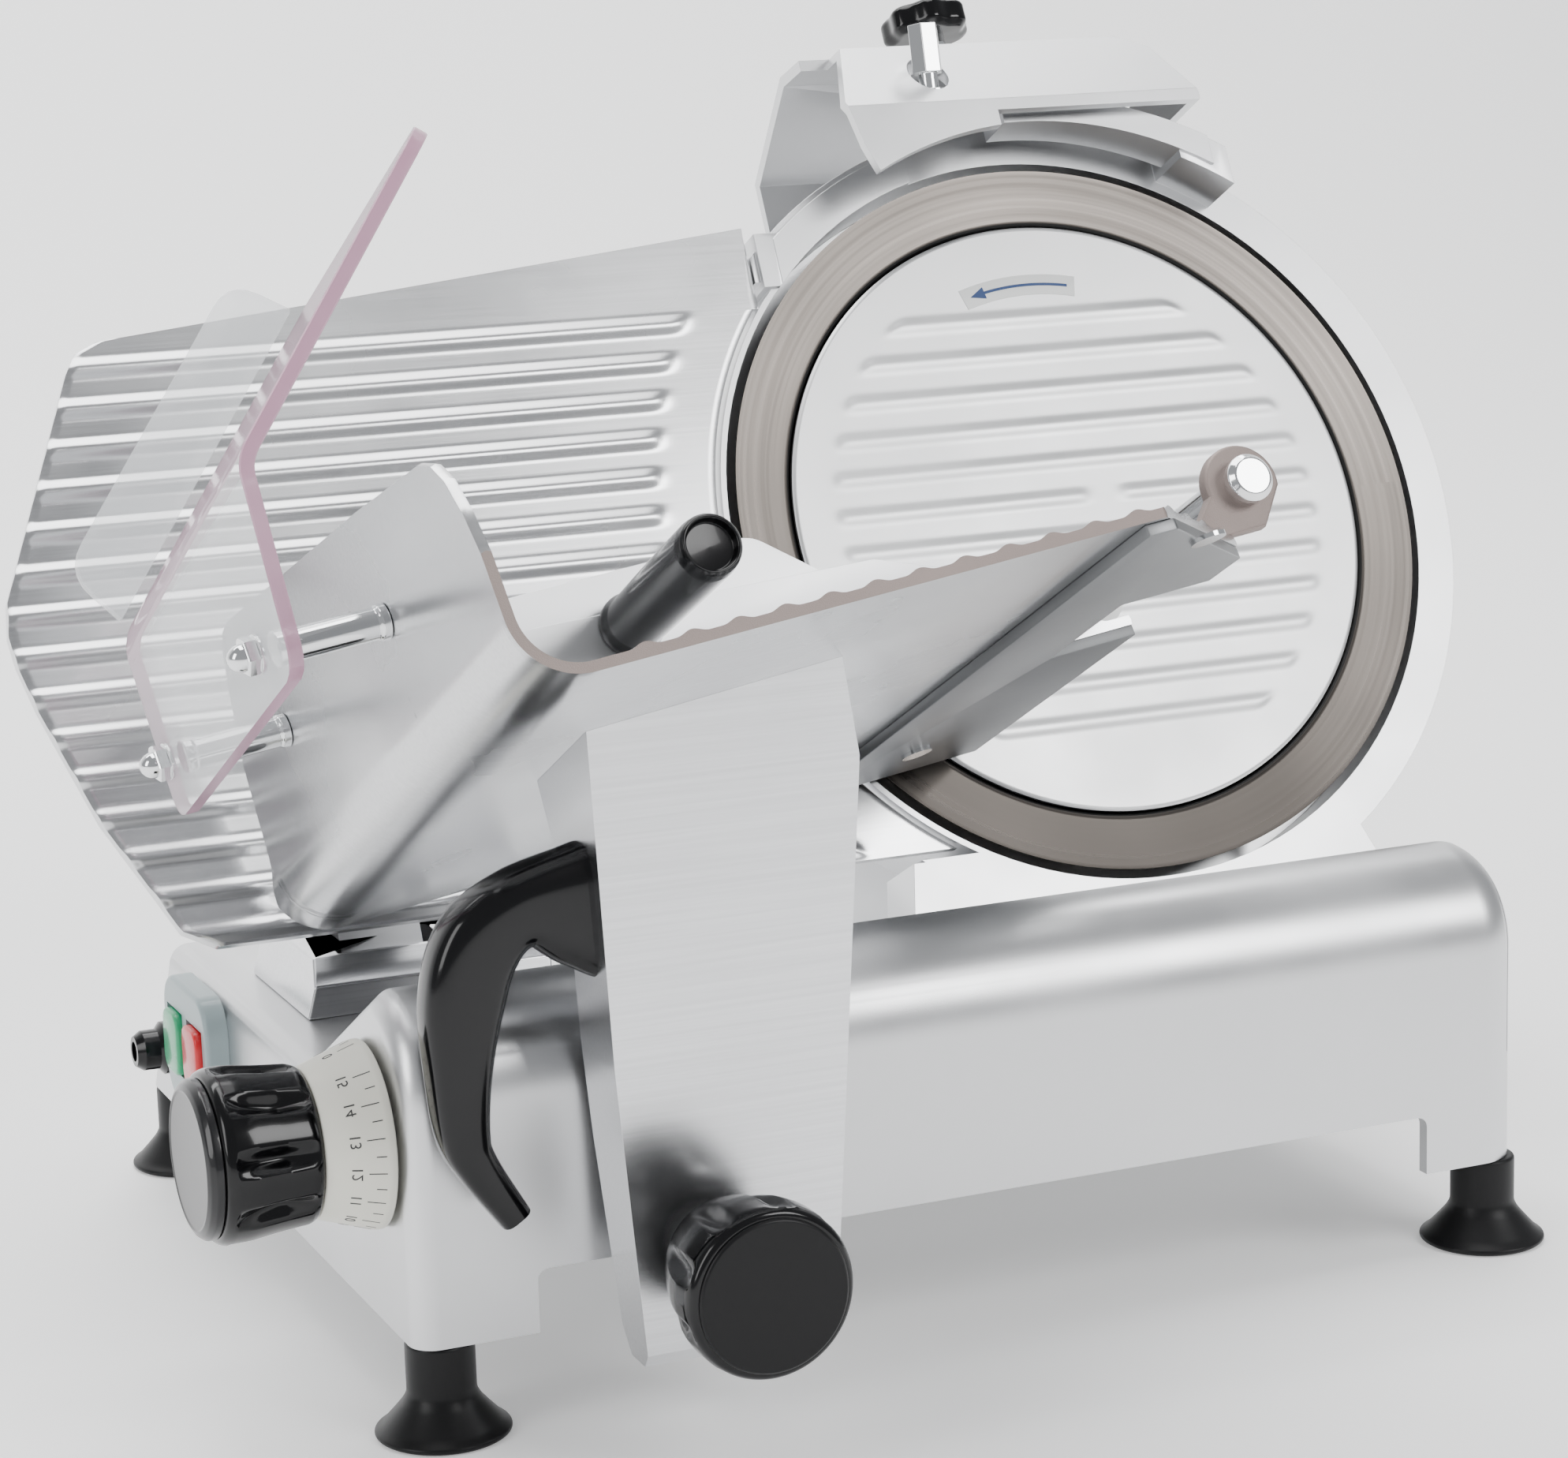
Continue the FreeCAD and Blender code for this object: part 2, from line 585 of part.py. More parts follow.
def motor_cover():
    """The rear casing over the belt and the motor: a tall part round the shaft and a deep part below."""
    front = -val("back_front") - val("wall") - 0.0

    def solid(grow, front_face):
        tall = prism([(-52 - grow, 0), (-52 - grow, -240), (52 + grow, -240), (52 + grow, 0)], -88 - grow,
                     front_face)
        dome = Part.makeCylinder(52 + grow, front_face + 88 + grow, V(0, 0, -88 - grow), AXIS_Z)
        deep = prism([(-66 - grow, -46 + grow), (-66 - grow, -240), (66 + grow, -240),
                      (66 + grow, -46 + grow)],
                     -146 - grow, front_face)
        return tall.fuse(dome).fuse(deep).removeSplitter()

    outer = solid(4, front)
    outer = rounded(outer, 8.0, lambda p, t: p.z < -91.9 and p.y > -60 and abs(t.z) < 0.1)
    inner = solid(0, front + 1)
    rod_hole = Part.makeCylinder(val("tie_radius") + 1, 60, V(0, 0, -120), AXIS_Z)
    cover = outer.cut(inner).cut(rod_hole)
    cover.Placement = LEAN_ONLY
    above = block(-400, 400, -400, val("base_far") + 20, -val("deck_low"), 400)
    return cover.common(above)


def build_blade():
    """The blade, what turns with it, and the cover that stands still in its dish."""
    edge = dim("blade_radius")
    land = dim("land_radius")
    pilot = dim("pilot_radius")
    dish = -dim("dish_depth")
    turned("blade",
           [(pilot, dish), (land - 3.5, dish), (land, -2.5), (edge, 0), (edge, -0.5), (land + 2.5, -7.5),
                     (land - 1.5, dish - 2.5), (pilot, dish - 2.5)], BLADE)
    shaft = dim("shaft_radius")
    turned("blade_hub", [(shaft, -17.5), (dim("hub_radius"), -17.5), (dim("hub_radius"), dish - 2.5),
                         (pilot - 0.05, dish - 2.5), (pilot - 0.05, dish), (shaft, dish)], BLADE)
    disc("blade_shaft", shaft, 69, at(BLADE, 0, 0, -78), bore=dim("shaft_bore"))
    screws = []
    for index in range(5):
        angle = math.radians(72 * index + 18)
        x, y = 33 * math.cos(angle), 33 * math.sin(angle)
        head = primitive_cylinder(f"screw_head_{index}", 5, 2.4, x, y, -val("dish_depth"))
        screws.append(head)
    group("blade_screws", screws, BLADE)
    pulley_front = -dim("pulley_front")
    width = dim("pulley_width")
    grooved_pulley("blade_pulley", dim("blade_pulley_radius"), shaft, at(BLADE, 0, 0, pulley_front - width))
    rings = []
    for index, z in enumerate((-33, -50)):
        outer = primitive_cylinder(f"bearing_outer_{index}", dim("bearing_radius"), dim("bearing_width"), 0,
                                   0, z)
        inner = primitive_cylinder(f"bearing_inner_{index}", shaft + dim("bearing_gap"), 14, 0, 0, z - 1)
        rings.append(less(f"bearing_{index}", outer, inner))
    group("blade_bearings", rings, BLADE)
    formed("blade_housing", blade_housing(), MACHINE)
    formed("motor_cover", motor_cover(), MACHINE)
    formed("disc_cover", disc_cover(), BLADE)
    disc("tie_rod", dim("tie_radius"), 101, at(BLADE, 0, 0, -106))
    formed("tie_rod_knob",
           fluted_knob(19, 20, 6, 7, 11).cut(Part.makeCylinder(val("tie_radius"), 10, V(0, 0, -1))),
           at(BLADE, 0, 0, -97, FLIP))


def grooved_pulley(label, radius, bore, placement):
    """A ribbed-belt pulley: flanges and four shallow grooves, turned in one piece."""
    profile = [(bore, 0), (radius, 0)]
    for index in range(4):
        start = 2 + 3 * index
        profile += [(radius, start), (radius - 1.2, start + 1.5)]
    profile += [(radius, 14), (radius, val("pulley_width")), (bore, val("pulley_width"))]
    return turned(label, profile, placement)


def disc_cover():
    """The still centre cover with its low ribs and the boss that the tie rod screws into."""
    face = -val("cover_sunk")
    radius = val("cover_radius")
    cover = Part.makeCylinder(radius, val("cover_thick"), V(0, 0, face - val("cover_thick")), AXIS_Z)
    cover = cover.fuse(Part.makeCylinder(11, 5, V(0, 0, face - val("cover_thick") - 4.8), AXIS_Z))
    for index in range(12):
        y = val("rib_pitch") * (5.35 - index)
        half = math.sqrt((radius - 16) ** 2 - y * y)
        cover = cover.fuse(lens_rib(2 * half, 7, 0.8, -half, y, face + 0.8))
    return cover.cut(Part.makeCylinder(val("tie_radius") + 0.06, 6.5, V(0, 0, -10), AXIS_Z))


def build_drive():
    """Motor, its pulley and the belt, behind the blade housing."""
    drop = -val("motor_drop")
    front = -val("motor_front")
    long = val("motor_long")
    can = primitive_cylinder("motor_can", dim("motor_radius"), dim("motor_long"), 0, drop, front - long)
    shaft_hole = primitive_cylinder("motor_hole", dim("motor_shaft_radius") + 0.05, long + 4, 0, drop,
                                    front - long - 2)
    rotor_room = primitive_cylinder("rotor_room", 30, long - 16, 0, drop, front - long + 8)
    keep(less("motor_shell", less("motor_bored", can, shaft_hole), rotor_room), "motor_body", BLADE)
    shaft = primitive_cylinder("rotor_shaft", dim("motor_shaft_radius"), 95, 0, drop, front - long + 1)
    rotor = primitive_cylinder("rotor_core", 29, long - 20, 0, drop, front - long + 10)
    keep(joined("rotor", [shaft, rotor]), "motor_rotor", BLADE)
    bottom = -val("pulley_front") - val("pulley_width")
    grooved_pulley("motor_pulley", dim("motor_pulley_radius"), dim("motor_shaft_radius"),
                   at(BLADE, 0, drop, bottom))
    bracket = block(-62, 62, -152, -48, front, front + 3)
    bracket = bracket.cut(Part.makeCylinder(val("motor_shaft_radius") + 2, 20, V(0, drop, front - 5), AXIS_Z))
    for x in (-56, 56):
        for y in (-142, -58):
            bracket = bracket.fuse(Part.makeCylinder(5, -front - val("back_front") - val("wall"),
                                                     V(x, y, front), AXIS_Z))
    formed("motor_bracket", bracket, BLADE)
    formed("drive_belt", belt(), at(BLADE, 0, 0, bottom + 1.5))


def belt():
    """The ribbed belt as a thin band round both pulleys, just clear of them."""
    def band(extra):
        large = Part.makeCylinder(val("blade_pulley_radius") + extra, 13)
        small = Part.makeCylinder(val("motor_pulley_radius") + extra, 13, V(0, -val("motor_drop"), 0))
        difference = val("blade_pulley_radius") - val("motor_pulley_radius")
        angle = math.asin(difference / val("motor_drop"))
        side = []
        for radius, y in ((val("blade_pulley_radius") + extra, 0),
                          (val("motor_pulley_radius") + extra, -val("motor_drop"))):
            side.append((radius * math.cos(angle), y - radius * math.sin(angle)))
        points = [side[0], side[1], (-side[1][0], side[1][1]), (-side[0][0], side[0][1])]
        return large.fuse(small).fuse(prism(points, 0, 13)).removeSplitter()
    return band(0.35 + val("belt_thick")).cut(band(0.35))


# ---- gauge plate and dial -------------------------------------------------------------------------------

def gauge_plate():
    """The ribbed plate that sets the slice thickness, hollowed round the blade."""
    top, low, left = val("plate_top"), val("plate_low"), val("plate_left")
    face = -val("rib_high")
    outline = [(-398, top - 29), (-120, top), (-60, top), (-60, -low), (-394, -low), (-419, -80),
               (-436, -36), (-left, -7)]
    body = prism(outline, face - val("plate_thick"), face)
    body = rounded(body, 16.0, lambda p, t: abs(t.z) > 0.9 and p.x < -390 and (p.y > 90 or p.y < -120))
    body = rounded(body, 10.0, lambda p, t: abs(t.z) > 0.9 and p.x < -400 and -90 < p.y < 0)
    for index in range(15):
        y = 94 - val("rib_pitch") * index
        right = -math.sqrt(178.0 ** 2 - y * y)
        start = -val("plate_left") + (60 if y > 40 else 30) * abs(y) / 100 + 2
        body = body.fuse(lens_rib(right - start, 9, val("rib_high"), start, y, 0))
    body = body.common(block(-460, 0, -low, top, -20, 5))
    body = body.cut(Part.makeCylinder(val("plate_gap"), 60, V(0, 0, -40), AXIS_Z))
    return body.cut(block(-121, -60, 98, 150, -20, 5))


def build_gauge():
    """Gauge plate, its bracket and guides, and the dial with its cam."""
    formed("gauge_plate", gauge_plate(), BLADE)
    back = -val("rib_high") - val("plate_thick")
    x0, x1 = -330, -298
    bracket = block(x0, x1, -104, -80, -50, back)
    bracket = bracket.fuse(block(x0, x1, -152, -80, -50, -36)).fuse(block(x0 - 4, x1 + 4, -176, -150, -50,
            -32))
    for x in GAUGE_RODS:
        bracket = bracket.cut(Part.makeCylinder(4.05, 60, V(x, -166, -80), AXIS_Z))
    drop, start = cam_centre()[0], cam_centre()[1] - CAM_START
    under_deck = (-190.5, 28.6)
    follower = prism([(-168, -46), (-158, -36), under_deck, (drop + 4, start + 5), (drop - 5, start + 1)],
                     -350.5, -345, "x")
    link = block(-350.5, x0, -172, -158, -50, -40)
    pin = Part.makeCylinder(CAM_PIN, 13, V(-357.8, drop, start), AXIS_X)
    formed("gauge_bracket", bracket.fuse(link).fuse(follower).fuse(pin).removeSplitter(), BLADE)
    rods = [primitive_cylinder(f"guide_rod_{index}", 4, 66, x, -166, -84) for index,
            x in enumerate(GAUGE_RODS)]
    group("gauge_guide_rods", rods, BLADE)
    low = -val("deck_low")
    points = [(-54, low), (-54, low + 12), (-45, low + 21), (12, low + 21), (20, low + 14), (20, low)]
    rail = prism(points, -352, -256, "x")
    rail = rail.cut(prism([(-362, low + 40), (-362, low - 1), (-352, low - 1), (-341, low + 40)], -60, 30,
                          "y"))
    formed("gauge_rail", rail.cut(block(x0 - 5, x1 + 5, -43, 10, low - 1, low + 30)), MACHINE)


GAUGE_RODS = (-322, -306)
CAM_START = 13.5
CAM_PIN = 2.5


def cam_centre():
    """The dial's axis in the blade frame: how far up the face it is, and how far in front of it."""
    tilt = math.radians(val("blade_tilt"))
    y, z = -val("dial_y"), -val("dial_z")
    return y * math.sin(tilt) + z * math.cos(tilt), -y * math.cos(tilt) + z * math.sin(tilt)


def build_dial():
    """The thickness dial: a spindle with a cam, a conical scale, a fluted knob and its end cap."""
    start = -val("base_left")
    centre = (-val("dial_y"), -val("dial_z"))
    dial = at(MACHINE, start, centre[0], centre[1], TURN_Z_TO_LEFT)
    scale = dim("scale_radius")
    knob = dim("knob_radius")
    turned("dial_scale",
           [(9, 1.5), (scale, 1.5), (scale, 4), (knob - 4.5, dim("scale_long")),
            (9, dim("scale_long"))], dial)
    formed("dial_knob", fluted_knob(val("knob_radius"), val("dial_knob_long"), 8, 9, 25).cut(
        Part.makeCylinder(9, 30, V(0, 0, -1))), at(dial, 0, 0, val("scale_long")))
    reach = val("scale_long") + val("dial_knob_long")
    turned("dial_cap", [(0, 0), (knob - 2.5, 0), (knob - 2.5, 3.5), (knob - 5, 5), (0, 6)],
           at(dial, 0, 0, reach))
    spindle = Part.makeCylinder(9, reach + 20, V(0, 0, -20), AXIS_Z)
    formed("dial_spindle", spindle.fuse(spiral_cam()), dial)


def spiral_cam():
    """The cam's radius grows steadily with the angle, by the greatest slice over the dial's whole turn."""
    turn = math.radians(val("dial_turn"))
    rise = val("slice_max") / turn
    tilt = math.radians(val("blade_tilt"))
    towards = math.atan2(math.cos(tilt), -math.sin(tilt))
    least = CAM_START - CAM_PIN - 0.35
    points = []
    for index in range(61):
        angle = -0.25 + (turn + 0.39) * index / 60
        radius = least + rise * max(angle, 0)
        points.append((radius * math.cos(towards - angle), radius * math.sin(towards - angle)))
    return prism(points, -20, -13.5)


def build_switch():
    """The start and stop switch on the operator's end."""
    start = -val("base_left")
    left = at(MACHINE, start, 19, -177, TURN_Z_TO_LEFT)
    body = block(-25, 25, -31, 31, 0, 9)
    body = rounded(body, 14.0, lambda p, t: abs(t.z) > 0.9)
    body = rounded(body, 2.0, lambda p, t: p.z > 8.9)
    for y in (-14, 14):
        body = body.cut(block(-13, 13, y - 11, y + 11, 3, 12))
    formed("switch_housing", body.fuse(block(-14, 14, -20, 20, -34, 0)), left)
    for label, y in (("stop_button", -14), ("start_button", 14)):
        button = block(-12.6, 12.6, y - 10.6, y + 10.6, 6.2, 11.5)
        button = rounded(button, 6.0, lambda p, t: abs(t.z) > 0.9)
        formed(label, rounded(button, 1.2, lambda p, t: p.z > 11.4), left)
    gland = at(MACHINE, start, 70, -190, TURN_Z_TO_LEFT)
    turned("cable_gland",
           [(4, -10), (8, -10), (8, 0), (10.5, 0), (10.5, 6), (8, 8), (8, 14), (6, 17), (4, 17)], gland)


# ---- carriage -------------------------------------------------------------------------------------------

def carriage_arm():
    """The cast upright that carries the tray, hollow at its back."""
    face = -val("arm_face")
    front = [(-316, -8), (-227, 6), (-222, -26), (-233, -182), (-236, -223), (-303, -223), (-311, -120)]
    side = [(face, 40), (face, -218), (face + 4, -223), (face + 16, -223), (face + 22, -214),
            (face + 29, -150),
            (face + 31, -90), (face + 40, -55), (face + 52, -34), (face + 52, 40)]
    arm = prism(front[:1] + [(-316, 40), (-227, 40)] + front[1:], face - 1, face + 80, "y").common(
        prism(side, -400, -100, "x"))
    hollow_front = [(-309, 40), (-234, 40), (-229, -30), (-238, -165), (-298, -165), (-304, -110)]
    hollow_side = [(face + 6, 20), (face + 6, -165), (face + 90, -165), (face + 90, 20)]
    hollow = prism(hollow_front, face, face + 90, "y").common(prism(hollow_side, -400, -100, "x"))
    under = Part.makeBox(900, 400, 900, V(-450, -val("tray_under"), -450))
    under.Placement = FreeCAD.Placement(V(0, 0, 0), LEAN.multiply(TWIST))
    flange = Part.makeBox(900, 400, 900, V(-450, -val("tray_under") - 7, -450))
    flange.Placement = under.Placement
    arm = arm.cut(hollow.cut(flange)).cut(under)
    return arm.cut(Part.makeCylinder(6.05, 60, V(-val("lock_x"), face - 2, -val("lock_z")), AXIS_Y))


def tray():
    """The food tray: a wall and a ribbed floor folded from one plate, cut back at its far near corner."""
    under, thick, left = -val("tray_under"), val("tray_thick"), -val("tray_left")
    near, gap, fold = val("tray_near"), val("tray_gap"), val("tray_fold")
    right = -val("tray_right")
    s = math.sin(math.radians(45))
    outer, inner = fold, fold - thick
    cx, cy = left + fold, under + fold
    section = [(left, 40), (left, cy), ((cx - outer * s, cy - outer * s), (cx, under)), (right, under),
               (right, under + thick), (cx, under + thick), ((cx - inner * s, cy - inner * s),
                                                             (left + thick, cy)),
               (left + thick, 40)]
    body = arc_profile(section, gap, near, "z")
    wall_cut = prism([(60, near + 5), (-36, near + 5), (-36, near), (0, near - 13), (10, near - 90), (28, 51),
                      (-17, 24), (-53, 17), (-72, gap - 0.1), (-72, -20), (60,
                              -20)], left - 5, left + 30, "x")
    body = body.cut(wall_cut)
    body = rounded(body, 12.0, lambda p, t: abs(t.x) > 0.9 and p.x < left + 5
                   and (p.distanceToPoint(V(p.x, 28, 51)) < 1 or p.distanceToPoint(V(p.x, 0, near - 13)) < 1))
    corner = Part.makePolygon([V(right + 5, -200, near - 80), V(right - 66, -200, near + 5),
                               V(right + 5, -200, near + 5), V(right + 5, -200, near - 80)])
    corner = Part.Face(corner).extrude(V(0, 300, 0))
    notch = block(right - 36, right + 5, -200, 0, 155, 215)
    for index in range(11):
        x = left + 42 + val("rib_pitch") * index
        body = body.fuse(tray_rib(x, under + thick, gap, near))
    ear_near = ear(near - 78, 6)
    ear_far = ear(gap, 8)
    body = body.cut(corner).cut(notch).fuse(ear_near).fuse(ear_far)
    rod = Part.makeCylinder(val("pusher_rod_radius"), 400,
                            V(-val("pusher_rod_q"), -val("pusher_rod_m"), -20), AXIS_Z)
    return body.cut(rod).removeSplitter()


def tray_rib(x, floor, start, end):
    """One low round rib along the tray's floor."""
    high, width = 1.3, 8
    radius = ((width / 2) ** 2 + high ** 2) / (2 * high)
    rod = Part.makeCylinder(radius, end - start, V(x, floor + high - radius, start), AXIS_Z)
    return rod.common(block(x - width, x + width, floor - 0.4, floor + 3, start - 1, end + 1))


def ear(z, thick):
    """An upright ear on the tray that holds one end of the pusher's rod."""
    x, y = -val("pusher_rod_q"), -val("pusher_rod_m")
    head = Part.makeCylinder(14, thick, V(x, y, z), AXIS_Z)
    foot = block(x - 30, x + 4, -val("tray_under") + 1, y, z, z + thick)
    return head.fuse(foot)


def build_carriage():
    """Everything that travels with the carriage."""
    formed("carriage_arm", carriage_arm(), MACHINE)
    formed("tray", tray(), TRAY)
    under, right, near = -val("tray_under"), -val("tray_right"), val("tray_near")
    edge = [V(right - 74, under - 4, 6), V(right, under - 4, 6), V(right, under - 4, near - 76),
            V(right - 63, under - 4, near - 3), V(right - 74, under - 4, near - 3)]
    strip = Part.Face(Part.makePolygon(edge + edge[:1])).extrude(V(0, 4, 0))
    strip = strip.cut(block(right - 36, right + 5, -200, 0, 155, 215))
    strip = strip.cut(block(right - 173, right - 70, -90, -60, 150, 330))
    formed("tray_strip", strip, TRAY)
    heads = [primitive_cylinder(f"strip_screw_{i}", 6, 1.5, x, under - 4, z, TURN_Z_TO_NEAR)
             for i, (x, z) in enumerate(((right - 40, near - 26), (right - 44, 45)))]
    group("strip_screws", heads, TRAY)
    disc("pusher_rod", dim("pusher_rod_radius"), near - 78 + 9 - 4,
         at(TRAY, -val("pusher_rod_q"), -val("pusher_rod_m"), 4))
    turned("rod_end_bolt", [(0, 0), (8.5, 0), (8.5, 3), (6.5, 5), (0, 5)],
           at(TRAY, -val("pusher_rod_q"), -val("pusher_rod_m"), near - 69))
    formed("carriage_handle", carriage_handle(), MACHINE)
    block_low = (-300, -val("rod_y") - 18, -val("rod_z") - 18)
    slide = block(-300, -240, block_low[1], block_low[1] + 36, block_low[2], block_low[2] + 36)
    slide = slide.cut(Part.makeCylinder(13, 80, V(-310, -val("rod_y"), -val("rod_z")), AXIS_X))
    bar = block(-286, -246, -243.0, -194, -211, -199)
    bar = bar.fuse(block(-286, -246, -206, -172, -211, -194))
    tail = block(-280, -252, -172, -152.3, -186, -176).fuse(block(-280, -252, -154, -150.4, -186, -152))
    formed("slide_block", slide.fuse(bar).fuse(tail).removeSplitter(), MACHINE)
    bushings = []
    for index, x in enumerate((-300, -258)):
        outer = primitive_cylinder(f"bush_outer_{index}", 13, 18, x, -val("rod_y"), -val("rod_z"),
                                   TURN_Z_TO_X)
        inner = primitive_cylinder(f"bush_inner_{index}", dim("rod_radius") + dim("slide_gap"), 20, x - 1,
                                   -val("rod_y"), -val("rod_z"), TURN_Z_TO_X)
        bushings.append(less(f"bush_{index}", outer, inner))
    group("slide_bushings", bushings, MACHINE)
    build_hand_guard()
    build_lock_knob()


def carriage_handle():
    """The hooked grip: a root on the arm's left side, a bow and a long lever bent back at its tip."""
    path = [(-306, -72), (-338, -66), (-357, -84), (-360, -112), (-357, -142), (-345, -168)]
    sizes = [(17, 22), (13, 17), (11, 13), (9, 12), (8, 11), (8, 10)]
    y = -val("arm_face") + 16
    pieces = []
    for (x0, z0), (x1, z1), (a0, b0), (a1, b1) in zip(path, path[1:], sizes, sizes[1:]):
        sections = []
        direction = V(x1 - x0, 0, z1 - z0)
        direction.normalize()
        normal = V(-direction.z, 0, direction.x)
        for x, z, half, deep in ((x0, z0, a0, b0), (x1, z1, a1, b1)):
            centre = V(x, y, z)
            corners = [centre + normal * (half * 0.5) * i + V(0, deep * 0.5 * j, 0)
                       for i, j in ((1, 0.6), (1, -0.6), (0.6, -1), (-0.6, -1), (-1, -0.6), (-1, 0.6),
                                    (-0.6, 1), (0.6, 1))]
            sections.append(Part.makePolygon(corners + corners[:1]))
        pieces.append(Part.makeLoft(sections, True, True))
        pieces.append(Part.makeSphere(min(a1, b1) * 0.49, V(x1, y, z1)))
    shape = pieces[0]
    for piece in pieces[1:]:
        shape = shape.fuse(piece)
    return shape


def build_hand_guard():
    """The clear guard on the tray wall: a panel on two standoffs, a leaning panel and a flap."""
    left = -val("tray_left")
    stand = 38
    q = left - stand
    thick = 5.0
    lower = prism([(-40, 245), (18, 260), (18, 77), (-37, 73)], q - thick, q, "x")
    panel = prism([(0, 77), (0, 260), (122, 248), (152, 72)], 0, thick, "x")
    flap = prism([(0, 77), (150, 72), (150, 77), (0, 82)], 0, 32, "x")
    lean = FreeCAD.Placement(V(q, 16, 0), FreeCAD.Rotation(AXIS_Z, -45))
    panel.Placement = lean.multiply(FreeCAD.Placement(V(-thick, 0, 0), FreeCAD.Rotation()))
    flap.Placement = lean.multiply(FreeCAD.Placement(V(-32, 0, 0), FreeCAD.Rotation()))
    guard = lower.fuse(panel).fuse(flap)
    places = ((-25, 219), (-21, 86))
    for m, n in places:
        guard = guard.cut(Part.makeCylinder(3.0, 30, V(q - 10, m, n), AXIS_X))
    formed("hand_guard", guard.removeSplitter(), TRAY)
    posts = []
    nuts = []
    for index, (m, n) in enumerate(places):
        tube = primitive_cylinder(f"post_tube_{index}", 6, stand, q, m, n, TURN_Z_TO_X)
        stud = primitive_cylinder(f"post_stud_{index}", 2.95, stand + 12, q - 12, m, n, TURN_Z_TO_X)
        posts.append(joined(f"post_{index}", [tube, stud]))
        shell = primitive_cylinder(f"nut_body_{index}", 6.5, 5, q - 5 - thick, m, n, TURN_Z_TO_X)
        dome = primitive_cylinder(f"nut_dome_{index}", 4.8, 6, q - 10.9 - thick, m, n, TURN_Z_TO_X)
        hole = primitive_cylinder(f"nut_hole_{index}", 2.95, 9, q - 8 - thick, m, n, TURN_Z_TO_X)
        nuts.append(less(f"nut_{index}", joined(f"nut_solid_{index}", [shell, dome]), hole))
    group("guard_posts", posts, TRAY)
    group("acorn_nuts", nuts, TRAY)


def build_lock_knob():
    """The knob under the arm that locks the tray, with its stud."""
    face = -val("arm_face")
    near = at(MACHINE, -val("lock_x"), face, -val("lock_z"), TURN_Z_TO_NEAR)
    formed("lock_knob", fluted_knob(val("knob_radius") - 0.5, 46, 8, 9, 17).cut(
        Part.makeCylinder(6, 30, V(0, 0, -1))), at(near, 0, 0, 8))
    turned("lock_stud", [(0, -12), (6, -12), (6, 0.3), (11, 0.3), (11, 8), (6, 8), (6, 36), (0, 36)], near)


def build_pusher():
    """The meat pusher: a sleeve on its rod, a swinging arm, a toothed plate and a grip."""
    q, m = -val("pusher_rod_q"), -val("pusher_rod_m")
    start = 84
    rod = val("pusher_rod_radius")
    turned("pusher_bush", [(rod + 0.05, -3), (11.5, -3), (11.5, -0.3), (9, -0.3), (9, 34.3), (11.5, 34.3),
                           (11.5, 37), (rod + 0.05, 37)], at(TRAY, q, m, start))
    sleeve = Part.makeCylinder(12.1, 34, V(q, m, start), AXIS_Z)
    bore = Part.makeCylinder(9.05, 60, V(q, m, 60), AXIS_Z)
    arm = Part.makePolygon([V(-150, -58, 96), V(q, m - 4, 96), V(q, m + 11, 96), V(-150, -20, 96),
                            V(-300, -12, 96),
                            V(-300, -30, 96), V(-150, -58, 96)])
    arm = Part.Face(arm).extrude(V(0, 0, 8))
    formed("pusher_arm", sleeve.fuse(arm).cut(bore).removeSplitter(), TRAY)
    body = prism([(-318, -70), (-165, -70), (-165, -20), (-190, 2), (-300, 2), (-318, -14)], 88, 95.9)
    body = rounded(body, 14.0, lambda p, t: abs(t.z) > 0.9 and p.y > -25)
    for index in range(9):
        for row in (-58, -38, -18):
            x = -306 + 16 * index
            body = body.fuse(Part.makeCone(3.2, 0.8, 6, V(x, row, 88.1), V(0, 0, -1)))
    formed("pusher_plate", body, TRAY)
    turned("pusher_handle",
           [(0, 0), (12, 0), (12, 3), (11, 8), (11.6, 60), (11.6, 88), (9.5, 90), (9.5, 85.5), (0, 85.5)],
           at(TRAY, -250, -21, 104.1))


# ---- sharpener ------------------------------------------------------------------------------------------

def sharpener_cover():
    """The faceted cast hood over the stones: open below and at its left, stepped at its front."""
    section = [(34, 128), (34, 168), (12, 203), (-22, 207), (-70, 180), (-70, 156)]
    inner = [(29.5, 120), (29.5, 166), (10, 198.5), (-20.5, 202), (-65.5, 177), (-65.5, 120)]
    hood = prism([(y, z) for z, y in section], -80, 80, "x")
    inside = prism([(y, z) for z, y in inner], -90, 75.5, "x")
    right = prism([(60, 215), (90, 215), (90, 120), (78, 120), (80, 166), (72, 196), (44, 212)], -80, 50)
    front_step = block(-14, 90, 120, 163, 5, 50)
    arch = Part.makeCylinder(157, 60, V(0, 0, 2), AXIS_Z)
    low_front = prism([(-90, 120), (-68, 128), (-90, 190)], 0, 60)
    over_bridge = block(66, 90, 120, 163, -13, 50)
    hood = hood.cut(inside).cut(right).cut(front_step).cut(over_bridge).cut(arch)
    left_cut = prism([(-95, 120), (-95, 215), (-62, 215), (-80, 170), (-70, 120)], -1, 60)
    hood = hood.cut(left_cut).cut(low_front)
    ring_room = Part.makeCylinder(172.5, 33, V(0, 0, -31.5), AXIS_Z)
    hood = hood.cut(ring_room)
    for x, y, z, turn in BUTTON_PLACES:
        hole = Part.makeCylinder(8.2, 60, V(0, 0, -30), AXIS_Z)
        hole.Placement = FreeCAD.Placement(V(x, y, z), turn)
        hood = hood.cut(hole)
    return hood.cut(Part.makeCylinder(7, 40, V(val("post_across"), 190, -val("post_back")), AXIS_Y))


BUTTON_PLACES = [
    (-36, 184, 23, FreeCAD.Rotation(AXIS_X, -76)),
    (42, 184, -44, FreeCAD.Rotation(AXIS_X, -104)),
]


